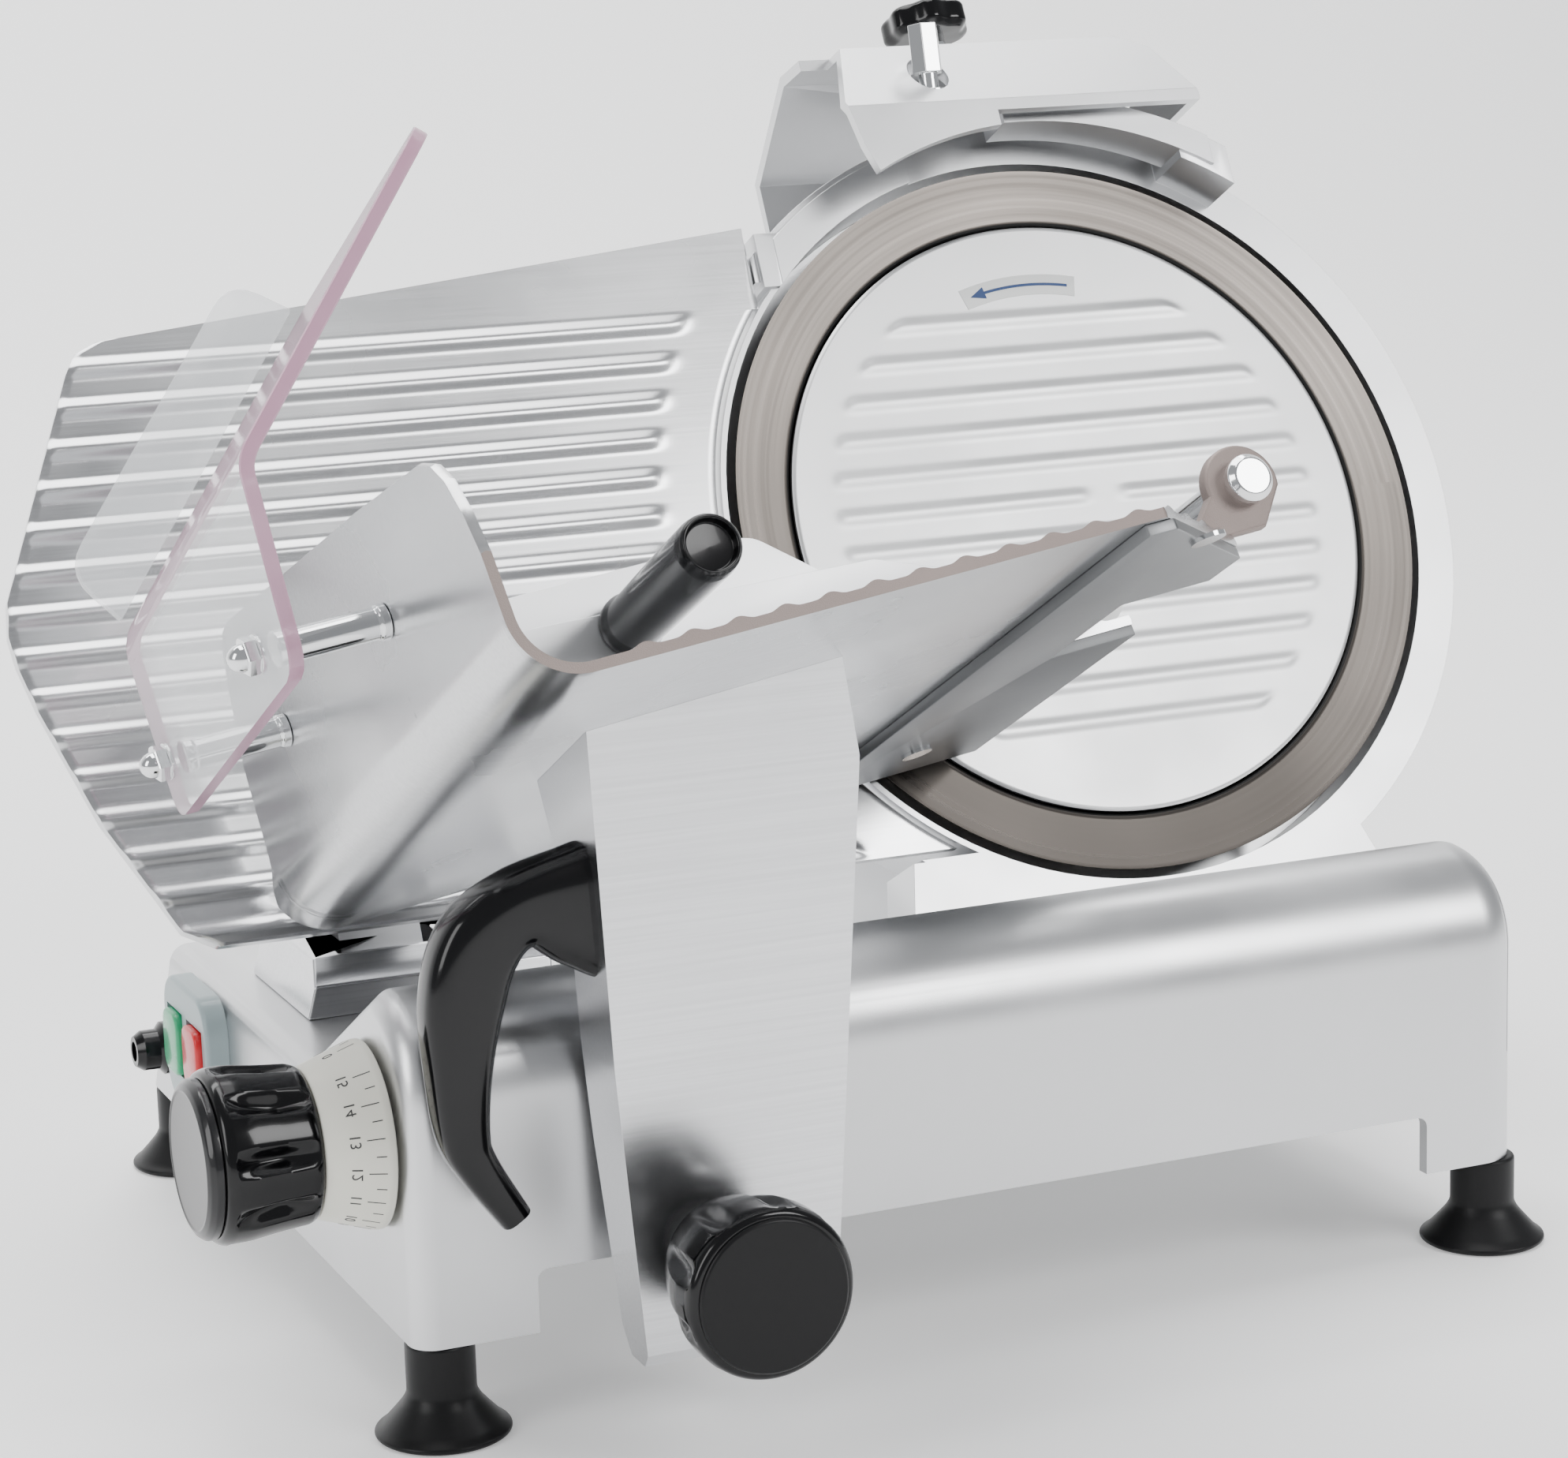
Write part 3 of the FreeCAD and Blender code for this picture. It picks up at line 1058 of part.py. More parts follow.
def build_sharpener():
    """The blade sharpener on its post: hood, post, clamp knob, two stones and their two push pins."""
    formed("sharpener_cover", sharpener_cover(), BLADE)
    post, post_n = val("post_across"), -val("post_back")
    turned("sharpener_post", [(0, 0), (8, 0), (8, 51.5), (6.9, 51.5), (6.9, 105), (0, 105)],
           at(BLADE, post, 134, post_n, TURN_Z_TO_Y))
    star = Part.makeCylinder(19, 13).cut(Part.makeCylinder(6.96, 11.5, V(0, 0, -1)))
    for index in range(7):
        angle = 2 * math.pi * index / 7
        star = star.cut(Part.makeCylinder(5, 20, V(22.5 * math.cos(angle), 22.5 * math.sin(angle), -2)))
    formed("sharpener_knob", star, at(BLADE, post, 229, post_n, TURN_Z_TO_Y))
    corners = [V(6.6 * math.cos(math.pi * k / 3), 6.6 * math.sin(math.pi * k / 3), 1) for k in range(7)]
    hexagon = Part.Face(Part.makePolygon(corners)).extrude(V(0, 0, 20))
    for label, (x, y, z, turn) in zip(("sharpening_pin", "honing_pin"), BUTTON_PLACES):
        pin = hexagon.copy()
        pin = pin.fuse(Part.makeCylinder(4, 16, V(0, 0, -14)))
        pin = pin.fuse(Part.makeCylinder(7.6, 3, V(0, 0, -9)))
        formed(label, pin, at(BLADE, x, y, z, turn))
    for label, x in (("grinding_stone", 23), ("honing_stone", 61)):
        stone = Part.makeCylinder(val("stone_radius"), 8).fuse(Part.makeCylinder(3, 20, V(0, 0, -12)))
        formed(label, stone, at(BLADE, x, 176, -42))


# ---- build, check and write -----------------------------------------------------------------------------

def check_and_write():
    """Stop on any failed object or bad solid, then write one STEP file a sub-part."""
    doc.recompute()
    bad = [item.Name for item in doc.Objects if "Invalid" in item.State or "Error" in item.State]
    if bad:
        raise RuntimeError(f"these objects failed: {bad}")
    os.makedirs("parts", exist_ok=True)
    box = FreeCAD.BoundBox()
    for item in sub_parts:
        shape = item.Shape
        if shape.isNull() or not shape.isValid() or not shape.Solids:
            raise RuntimeError(f"{item.Label} has no valid solid")
        box.add(shape.BoundBox)
        shape.exportStep(f"parts/{item.Label}.step")
        print(f"{item.Label:20s} {len(shape.Solids)} solids {shape.Volume / 1000:9.2f} cm3")
    print(len(sub_parts), "sub-parts, box", box)


build_base()
build_slide_way()
build_blade()
build_drive()
build_gauge()
build_dial()
build_switch()
build_carriage()
build_pusher()
build_sharpener()
check_and_write()
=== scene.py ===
import json
import logging
import math
from dataclasses import dataclass, field
from enum import Enum
from typing import Callable, Optional, Sequence, Union

import bmesh
import bpy
import numpy as np
from mathutils import Matrix, Vector


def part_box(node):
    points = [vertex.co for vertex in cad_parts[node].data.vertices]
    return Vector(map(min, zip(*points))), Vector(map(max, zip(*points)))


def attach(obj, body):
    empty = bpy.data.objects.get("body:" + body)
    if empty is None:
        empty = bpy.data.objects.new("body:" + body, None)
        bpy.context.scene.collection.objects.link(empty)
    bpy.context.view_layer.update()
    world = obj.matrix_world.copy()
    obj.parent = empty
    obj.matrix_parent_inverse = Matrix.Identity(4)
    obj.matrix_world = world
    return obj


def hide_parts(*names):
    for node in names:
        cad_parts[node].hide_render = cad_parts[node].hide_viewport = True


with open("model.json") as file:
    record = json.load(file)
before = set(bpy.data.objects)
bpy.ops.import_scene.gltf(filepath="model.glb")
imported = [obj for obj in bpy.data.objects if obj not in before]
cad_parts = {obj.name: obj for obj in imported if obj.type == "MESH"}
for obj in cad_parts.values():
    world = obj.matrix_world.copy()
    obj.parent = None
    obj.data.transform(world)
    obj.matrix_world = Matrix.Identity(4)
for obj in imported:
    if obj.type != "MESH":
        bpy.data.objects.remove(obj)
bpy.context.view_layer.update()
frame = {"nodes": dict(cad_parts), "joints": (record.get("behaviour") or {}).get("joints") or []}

Array = np.ndarray
Object = bpy.types.Object
Material = bpy.types.Material
Points = Sequence[tuple[float, float]]
NodeValue = Union[bpy.types.NodeSocket, float]

MM = 0.001
TRAY_TWIST = math.radians(8.5)
ROUND_STEPS = 96
LOG = logging.getLogger("meat_slicer")


# ---- frames ---------------------------------------------------------------------------------------------

@dataclass(frozen=True)
class Seat:
    """A right-handed frame that a shape is drawn in, in millimetres.

    Attributes:
        origin: where the frame's zero point is, in metres.
        axes: three rows, the frame's unit vectors.
    """

    origin: Array
    axes: Array

    def place(self, points: Array) -> Array:
        """The points of the shape in metres: origin plus each coordinate times its axis."""
        return self.origin + points @ self.axes * MM

    def moved(self, x: float = 0.0, y: float = 0.0, z: float = 0.0) -> "Seat":
        """The same frame with its origin shifted along its own axes, in millimetres."""
        return Seat(self.place(np.array([x, y, z])), self.axes)

    def facing(self, right: Sequence[float], up: Sequence[float]) -> "Seat":
        """The frame turned so that its x and y are these directions of the present frame.

        Args:
            right: the new x.
            up: the new y.

        Returns:
            The turned frame.
        """
        first = np.array(right, dtype=float)
        second = np.array(up, dtype=float)
        first /= np.linalg.norm(first)
        second /= np.linalg.norm(second)
        return Seat(self.origin, np.stack([first, second, np.cross(first, second)]) @ self.axes)


def joint_place(name: str) -> tuple[Array, Array]:
    """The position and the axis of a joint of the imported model.

    Args:
        name: the joint's name.

    Returns:
        The position, zero for a slide, and the unit axis.
    """
    joint = next(item for item in frame["joints"] if item["name"] == name)
    return np.array(joint.get("pos_m", (0.0, 0.0, 0.0))), np.array(joint["axis"])


def machine_seats() -> tuple[Seat, Seat, Seat]:
    """The machine's, the blade's and the tray's frames, all from the blade's own joint.

    Returns:
        The three frames in that order.
    """
    centre, out = joint_place("blade_spin")
    right = np.array([1.0, 0.0, 0.0])
    up = np.cross(out, right)
    cos, sin = math.cos(TRAY_TWIST), math.sin(TRAY_TWIST)
    blade = Seat(centre, np.stack([right, up, out]))
    tray = Seat(centre, np.stack([cos * right + sin * up, cos * up - sin * right, out]))
    return Seat(centre, np.eye(3)), blade, tray


MACHINE, BLADE, TRAY = machine_seats()


# ---- outlines -------------------------------------------------------------------------------------------

def softened_corners(corners: Points, radii: float | Sequence[float], closed: bool = True,
                     steps: int = 6) -> Array:
    """Round each corner of an outline with a short parabola whose ends lie a radius along each side.

    Args:
        corners: the outline's corner points.
        radii: one length for all the corners, or one for each.
        closed: whether the last point joins the first.
        steps: points on each rounded corner.

    Returns:
        An array of two columns.
    """
    points = np.array(corners, dtype=float)
    sizes = np.broadcast_to(np.asarray(radii, dtype=float), (len(points),))
    before = np.roll(points, 1, axis=0) - points
    after = np.roll(points, -1, axis=0) - points
    before_long = np.linalg.norm(before, axis=1)
    after_long = np.linalg.norm(after, axis=1)
    reach = np.minimum(sizes, 0.49 * np.minimum(before_long, after_long))
    if not closed:
        reach = np.concatenate([[0.0], reach[1:-1], [0.0]])
    start = points + before * (reach / before_long)[:, None]
    end = points + after * (reach / after_long)[:, None]
    part = np.linspace(0.0, 1.0, steps)[None, :, None]
    curve = ((1 - part) ** 2 * start[:, None] + 2 * part * (1 - part) * points[:, None]
             + part ** 2 * end[:, None])
    single = reach < 1e-6
    rows = [curve[index][:1] if single[index] else curve[index] for index in range(len(points))]
    return np.concatenate(rows)


def flowing(points: Sequence[Sequence[float]], count: int) -> Array:
    """A smooth open curve through the points, by the cubic that matches each point's neighbour slope.

    Args:
        points: the points that the curve passes, any number of columns.
        count: how many points come out, spread evenly by segment.

    Returns:
        An array of count rows.
    """
    known = np.array(points, dtype=float)
    padded = np.vstack([2 * known[0] - known[1], known, 2 * known[-1] - known[-2]])
    place = np.linspace(0, len(known) - 1 - 1e-9, count)
    cell = place.astype(int)
    part = (place - cell)[:, None]
    a, b, c, d = padded[cell], padded[cell + 1], padded[cell + 2], padded[cell + 3]
    return 0.5 * (2 * b + (c - a) * part + (2 * a - 5 * b + 4 * c - d) * part ** 2
                  + (3 * b - a - 3 * c + d) * part ** 3)


def inset_outline(outline: Array, amount: float) -> Array:
    """The outline moved inwards: each point goes along the outline's own normal there.

    Args:
        outline: a closed outline of two columns.
        amount: how far in each point goes.

    Returns:
        The moved outline, with the same number of points.
    """
    along = np.roll(outline, -1, axis=0) - np.roll(outline, 1, axis=0)
    along /= np.linalg.norm(along, axis=1)[:, None] + 1e-12
    following = np.roll(outline, -1, axis=0)
    area = np.sum(outline[:, 0] * following[:, 1] - outline[:, 1] * following[:, 0])
    inward = np.stack([-along[:, 1], along[:, 0]], axis=1) * np.sign(area)
    return outline + inward * amount


# ---- surfaces -------------------------------------------------------------------------------------------

def loft(name: str, loops: Array, seat: Seat, sharp: float = 32.0, ends: bool = True) -> Object:
    """A closed skin over a stack of closed loops, with a flat face on each end.

    The face between row r and row r+1 and column c and column c+1 takes those four points. The volume's
    sign says whether the faces point inwards, and if so all of them are turned.

    Args:
        name: the piece's name.
        loops: rows of loops, of shape (rows, columns, 3), in the seat's millimetres.
        seat: the frame the loops are drawn in.
        sharp: the angle in degrees past which an edge stays sharp.
        ends: whether the two ends get faces; without them the last loop joins the first.

    Returns:
        The new object.
    """
    rows, columns = loops.shape[:2]
    points = seat.place(loops.reshape(-1, 3))
    row_count = rows - 1 if ends else rows
    row, column = np.meshgrid(np.arange(row_count), np.arange(columns), indexing="ij")
    next_row = (row + 1) % rows
    next_column = (column + 1) % columns
    quads = np.stack([row * columns + column, row * columns + next_column,
                      next_row * columns + next_column, next_row * columns + column], axis=-1).reshape(-1, 4)
    a, b, c, d = (points[quads[:, k]] - points.mean(axis=0) for k in range(4))
    volume = np.sum(a * np.cross(b, c)) + np.sum(a * np.cross(c, d))
    faces = quads[:, ::-1] if volume < 0 else quads
    polygons = faces.tolist()
    if ends:
        first = np.arange(columns)[::-1]
        last = np.arange(columns) + (rows - 1) * columns
        polygons += [first[::-1].tolist() if volume < 0 else first.tolist(),
                     last[::-1].tolist() if volume < 0 else last.tolist()]
    mesh = bpy.data.meshes.new(name)
    mesh.from_pydata(points.tolist(), [], polygons)
    corner = np.stack([column, column + 1, column + 1, column], axis=-1).reshape(-1, 4) / columns
    height = np.stack([row, row, row + 1, row + 1], axis=-1).reshape(-1, 4) / max(rows - 1, 1)
    if volume < 0:
        corner, height = corner[:, ::-1], height[:, ::-1]
    values = np.zeros((len(mesh.loops), 2))
    values[:corner.size] = np.stack([corner.ravel(), height.ravel()], axis=1)
    mesh.uv_layers.new(name="UVMap").data.foreach_set("uv", values.astype(np.float32).ravel())
    return finished_mesh(name, mesh, sharp)


def finished_mesh(name: str, mesh: bpy.types.Mesh, sharp: float = 32.0) -> Object:
    """Smooth a mesh but for its sharp edges, and link it as an object at the origin.

    Args:
        name: the piece's name.
        mesh: the mesh, in metres.
        sharp: the angle in degrees past which an edge stays sharp.

    Returns:
        The new object.
    """
    mesh.validate()
    mesh.polygons.foreach_set("use_smooth", np.ones(len(mesh.polygons), dtype=bool))
    mesh.set_sharp_from_angle(angle=math.radians(sharp))
    mesh.update()
    piece = bpy.data.objects.new(name, mesh)
    bpy.context.scene.collection.objects.link(piece)
    return piece


def face_centres(piece: Object, seat: Seat) -> Array:
    """The middle of each face of a piece, in the seat's millimetres."""
    centres = np.empty(len(piece.data.polygons) * 3)
    piece.data.polygons.foreach_get("center", centres)
    return (centres.reshape(-1, 3) - seat.origin) @ seat.axes.T / MM


def turned(name: str, profile: Points, seat: Seat, soft: float = 0.0, steps: int = ROUND_STEPS,
           lobes: Optional[Callable[[Array, Array], Array]] = None) -> Object:
    """A turned form: each profile point (radius, height) carried round the seat's z.

    Args:
        name: the piece's name.
        profile: radius and height pairs in order along the skin.
        seat: the frame, with z along the axis.
        soft: length of the rounding on the profile's corners.
        steps: points round the axis.
        lobes: a factor on the radius from the angle and the height, for flutes.

    Returns:
        The new object.
    """
    line = softened_corners(profile, soft, closed=False) if soft else np.array(profile, dtype=float)
    angle = np.linspace(0, 2 * math.pi, steps, endpoint=False)[None, :]
    radius = np.maximum(line[:, :1], 0.02) * np.ones_like(angle)
    height = line[:, 1:] * np.ones_like(angle)
    if lobes is not None:
        radius = radius * lobes(angle, height)
    loops = np.stack([radius * np.cos(angle), radius * np.sin(angle), height], axis=-1)
    return loft(name, loops, seat)


def ring_solid(name: str, profile: Points, seat: Seat, soft: float = 0.0, steps: int = ROUND_STEPS) -> Object:
    """A turned ring with a hole: the closed profile (radius, height) carried round, with no end faces.

    Args:
        name: the piece's name.
        profile: radius and height pairs round the section.
        seat: the frame, with z along the axis.
        soft: length of the rounding on the profile's corners.
        steps: points round the axis.

    Returns:
        The new object.
    """
    line = softened_corners(profile, soft) if soft else np.array(profile, dtype=float)
    angle = np.linspace(0, 2 * math.pi, steps, endpoint=False)[None, :]
    radius = line[:, :1] * np.ones_like(angle)
    height = line[:, 1:] * np.ones_like(angle)
    loops = np.stack([radius * np.cos(angle), radius * np.sin(angle), height], axis=-1)
    return loft(name, loops, seat, ends=False)


def slab(name: str, outline: Array, low: float, high: float, seat: Seat, edge: float = 0.4) -> Object:
    """A plate between two heights whose rim is a quarter round at both faces.

    Along each quarter the outline moves in by edge times (1 - cos t) as the height moves by
    edge times (1 - sin t).

    Args:
        name: the piece's name.
        outline: the closed outline, of two columns.
        low: height of the first face.
        high: height of the second face.
        seat: the frame, with z across the plate.
        edge: radius of the rim's rounding.

    Returns:
        The new object.
    """
    turn = np.linspace(0, math.pi / 2, 4)
    insets = np.concatenate([edge * (1 - np.sin(turn)), edge * (1 - np.sin(turn[::-1]))])
    heights = np.concatenate([low + edge * (1 - np.cos(turn)), high - edge * (1 - np.cos(turn[::-1]))])
    loops = [np.column_stack([inset_outline(outline, inset), np.full(len(outline), height)])
             for inset, height in zip(insets, heights)]
    return loft(name, np.stack(loops), seat)


def swept(name: str, path: Array, half: Array, seat: Seat, side: Sequence[float], power: float = 2.6,
          steps: int = 40) -> Object:
    """A bar along a path whose section is a superellipse: |a/half_a|^power + |b/half_b|^power = 1.

    Args:
        name: the piece's name.
        path: the middle line, of shape (rows, 3).
        half: the half sizes across and along side, of shape (rows, 2).
        seat: the frame.
        side: the direction that stays level across the bar.
        power: 2 is an ellipse, and more is squarer.
        steps: points round the section.

    Returns:
        The new object.
    """
    along = np.gradient(path, axis=0)
    along /= np.linalg.norm(along, axis=1)[:, None]
    level = np.array(side, dtype=float)
    across = np.cross(along, level)
    across /= np.linalg.norm(across, axis=1)[:, None]
    angle = np.linspace(0, 2 * math.pi, steps, endpoint=False)
    wide = np.sign(np.cos(angle)) * np.abs(np.cos(angle)) ** (2 / power)
    deep = np.sign(np.sin(angle)) * np.abs(np.sin(angle)) ** (2 / power)
    loops = (path[:, None] + across[:, None] * (half[:, :1] * wide)[..., None]
             + level * (half[:, 1:] * deep)[..., None])
    return loft(name, loops, seat)


def softened_casting(node: str, name: str, width: float, sharp: float = 30.0) -> Object:
    """A copy of a CAD node with its points merged, its flats joined and its edges rounded.

    Args:
        node: the CAD node.
        name: the new piece's name.
        width: the edge rounding in millimetres.
        sharp: the angle in degrees past which an edge is rounded.

    Returns:
        The new object.
    """
    mesh = frame["nodes"][node].data.copy()
    mesh.name = name
    mesh.materials.clear()
    work = bmesh.new()
    work.from_mesh(mesh)
    bmesh.ops.remove_doubles(work, verts=work.verts, dist=2e-6)
    bmesh.ops.dissolve_limit(work, angle_limit=math.radians(0.6), verts=work.verts, edges=work.edges)
    for face in work.faces:
        face.material_index = 0
    work.to_mesh(mesh)
    work.free()
    piece = finished_mesh(name, mesh, sharp)
    bevel = piece.modifiers.new("edges", "BEVEL")
    bevel.width = width * MM
    bevel.segments = 3
    bevel.limit_method = "ANGLE"
    bevel.angle_limit = math.radians(sharp)
    bevel.harden_normals = True
    bevel.use_clamp_overlap = True
    return piece


# ---- finishes -------------------------------------------------------------------------------------------

class Grain(Enum):
    """How a metal surface was worked."""

    CAST = "cast"
    BRUSHED = "brushed"
    TURNED = "turned"


def new_group(name: str, inputs: dict[str, float], outputs: Sequence[str]) -> bpy.types.NodeTree:
    """An empty shader node group with number sockets.

    Args:
        name: the group's name.
        inputs: each input's name and usual value.
        outputs: the outputs' names.

    Returns:
        The group, with its input and output nodes in place.
    """
    group = bpy.data.node_groups.new(name, "ShaderNodeTree")
    for label, value in inputs.items():
        socket = group.interface.new_socket(name=label, in_out="INPUT", socket_type="NodeSocketFloat")
        socket.default_value = value
    for label in outputs:
        group.interface.new_socket(name=label, in_out="OUTPUT", socket_type="NodeSocketFloat")
    group.nodes.new("NodeGroupInput").name = "in"
    group.nodes.new("NodeGroupOutput").name = "out"
    return group


def math_node(tree: bpy.types.NodeTree, kind: str, first: NodeValue,
              second: NodeValue = 0.5) -> bpy.types.NodeSocket:
    """A Math node whose two inputs are sockets or numbers; its output socket comes back.

    Args:
        tree: the node tree.
        kind: the node's operation.
        first: a socket or a number.
        second: a socket or a number.

    Returns:
        The node's output socket.
    """
    node = tree.nodes.new("ShaderNodeMath")
    node.operation = kind
    for socket, value in zip(node.inputs, (first, second)):
        if isinstance(value, bpy.types.NodeSocket):
            tree.links.new(value, socket)
        else:
            socket.default_value = value
    return node.outputs[0]


def noise_node(tree: bpy.types.NodeTree, vector: bpy.types.NodeSocket, scale: NodeValue,
               stretch: tuple[float, float, float] = (1, 1, 1), turn: tuple[float, float, float] = (0, 0, 0),
               detail: float = 3.0) -> bpy.types.NodeSocket:
    """Noise on coordinates that a Mapping node turns and stretches; its value socket comes back.

    Args:
        tree: the node tree.
        vector: the coordinates.
        scale: a socket or a number.
        stretch: factors on the three coordinates.
        turn: rotation of the coordinates, in radians.
        detail: octaves of finer noise.

    Returns:
        The noise's value socket.
    """
    mapping = tree.nodes.new("ShaderNodeMapping")
    mapping.inputs["Rotation"].default_value = turn
    mapping.inputs["Scale"].default_value = stretch
    tree.links.new(vector, mapping.inputs["Vector"])
    noise = tree.nodes.new("ShaderNodeTexNoise")
    noise.inputs["Detail"].default_value = detail
    if isinstance(scale, bpy.types.NodeSocket):
        tree.links.new(scale, noise.inputs["Scale"])
    else:
        noise.inputs["Scale"].default_value = scale
    tree.links.new(mapping.outputs["Vector"], noise.inputs["Vector"])
    return noise.outputs["Fac"]


def object_coordinates(tree: bpy.types.NodeTree) -> bpy.types.NodeSocket:
    """The Object coordinates socket of a new Texture Coordinate node."""
    return tree.nodes.new("ShaderNodeTexCoord").outputs["Object"]


def cast_group() -> bpy.types.NodeTree:
    """Fine blasted grain with broad soft mottling: grain and mottle are noises, height is their sum.

    Returns:
        The group, with outputs Mottle and Height.
    """
    group = new_group("cast_grain", {"Grain Scale": 2600.0, "Mottle Scale": 14.0}, ("Mottle", "Height"))
    source, sink = group.nodes["in"], group.nodes["out"]
    place = object_coordinates(group)
    fine = noise_node(group, place, source.outputs["Grain Scale"], detail=2.0)
    broad = noise_node(group, place, source.outputs["Mottle Scale"], detail=5.0)
    group.links.new(broad, sink.inputs["Mottle"])
    group.links.new(math_node(group, "ADD", fine, math_node(group, "MULTIPLY", broad, 0.6)),
                    sink.inputs["Height"])
    return group


def brushed_group() -> bpy.types.NodeTree:
    """Long fine brush lines along X: noise on coordinates squeezed across the brushing.

    Returns:
        The group, with outputs Lines and Mottle.
    """
    group = new_group("brush_lines", {"Line Scale": 900.0, "Mottle Scale": 9.0}, ("Lines", "Mottle"))
    source, sink = group.nodes["in"], group.nodes["out"]
    place = object_coordinates(group)
    lines = noise_node(group, place, source.outputs["Line Scale"], stretch=(0.012, 1, 1), detail=4.0)
    broad = noise_node(group, place, source.outputs["Mottle Scale"], detail=4.0)
    group.links.new(lines, sink.inputs["Lines"])
    group.links.new(broad, sink.inputs["Mottle"])
    return group


def turned_group() -> bpy.types.NodeTree:
    """Grinding marks in circles, noise on the distance from the axis read from the UV map's height; broad
    painted sheen patches.

    Returns:
        The group, with outputs Rings and Sweep.
    """
    group = new_group("turned_marks_and_painted_sheen", {"Ring Scale": 90.0, "Sweep Scale": 7.0}, ("Rings", "Painted Sheen"))
    source, sink = group.nodes["in"], group.nodes["out"]
    place = group.nodes.new("ShaderNodeTexCoord").outputs["UV"]
    rings = noise_node(group, place, source.outputs["Ring Scale"], stretch=(0.03, 1, 1), detail=5.0)
    sweep = noise_node(group, object_coordinates(group), source.outputs["Sweep Scale"], detail=2.0)
    group.links.new(rings, sink.inputs["Rings"])
    group.links.new(sweep, sink.inputs["Painted Sheen"])
    return group


def wear_group() -> bpy.types.NodeTree:
    """Handling marks: a soft mask of wiped patches.

    Returns:
        The group, with output Patches.
    """
    group = new_group("handling", {"Patch Scale": 6.0}, ("Patches",))
    source, sink = group.nodes["in"], group.nodes["out"]
    patches = noise_node(group, object_coordinates(group), source.outputs["Patch Scale"], detail=6.0)
    group.links.new(patches, sink.inputs["Patches"])
    return group


_GROUPS: dict[str, bpy.types.NodeTree] = {}


def shared_group(maker: Callable[[], bpy.types.NodeTree]) -> bpy.types.NodeTree:
    """The one copy of a node group, built the first time that it is asked for."""
    if maker.__name__ not in _GROUPS:
        _GROUPS[maker.__name__] = maker()
    return _GROUPS[maker.__name__]


class Bench:
    """A material being built: its node tree, its Principled shader and short ways to add nodes."""

    def __init__(self, name: str) -> None:
        """Make the material with the default shader.

        Args:
            name: the material's name.
        """
        self.material = bpy.data.materials.new(name)
        self.material.use_nodes = True
        self.tree = self.material.node_tree
        self.shader = self.tree.nodes["Principled BSDF"]

    def set(self, **values: Union[float, Sequence[float]]) -> None:
        """Set sockets of the shader by name, with underscores for spaces."""
        for label, value in values.items():
            self.shader.inputs[label.replace("_", " ")].default_value = value

    def group(self, maker: Callable[[], bpy.types.NodeTree], **values: float) -> bpy.types.Node:
        """Add a shared group with its own values, given with underscores for spaces.

        Args:
            maker: the function that builds the group.
            values: numbers for the group's inputs.

        Returns:
            The group's node.
        """
        node = self.tree.nodes.new("ShaderNodeGroup")
        node.node_tree = shared_group(maker)
        for label, value in values.items():
            node.inputs[label.replace("_", " ")].default_value = value
        return node

    def ramp(self, source: bpy.types.NodeSocket, target: str, low: float, high: float,
             start: float = 0.3, end: float = 0.7) -> None:
        """Drive a number socket of the shader from low to high as the source goes from start to end.

        Args:
            source: the socket that drives.
            target: the shader's socket.
            low: the first result.
            high: the last result.
            start: where the source starts.
            end: where the source ends.
        """
        node = self.tree.nodes.new("ShaderNodeMapRange")
        for label, value in (("From Min", start), ("From Max", end), ("To Min", low), ("To Max", high)):
            node.inputs[label].default_value = value
        self.tree.links.new(source, node.inputs["Value"])
        self.tree.links.new(node.outputs["Result"], self.shader.inputs[target])

    def colours(self, source: bpy.types.NodeSocket, dark: Sequence[float], light: Sequence[float],
                start: float = 0.3, end: float = 0.7) -> None:
        """Drive the base colour from dark to light as the source goes from start to end.

        Args:
            source: the socket that drives.
            dark: the first colour.
            light: the last colour.
            start: where the source starts.
            end: where the source ends.
        """
        node = self.tree.nodes.new("ShaderNodeValToRGB")
        node.color_ramp.elements[0].position = start
        node.color_ramp.elements[0].color = (*dark, 1)
        node.color_ramp.elements[1].position = end
        node.color_ramp.elements[1].color = (*light, 1)
        self.tree.links.new(source, node.inputs["Fac"])
        self.tree.links.new(node.outputs["Color"], self.shader.inputs["Base Color"])

    def bump(self, height: bpy.types.NodeSocket, strength: float, distance: float) -> None:
        """Put a Bump node with this height on the shader's normal.

        Args:
            height: the socket with the height.
            strength: the bump's strength.
            distance: the bump's depth in metres.
        """
        node = self.tree.nodes.new("ShaderNodeBump")
        node.inputs["Strength"].default_value = strength
        node.inputs["Distance"].default_value = distance
        self.tree.links.new(height, node.inputs["Height"])
        self.tree.links.new(node.outputs["Normal"], self.shader.inputs["Normal"])


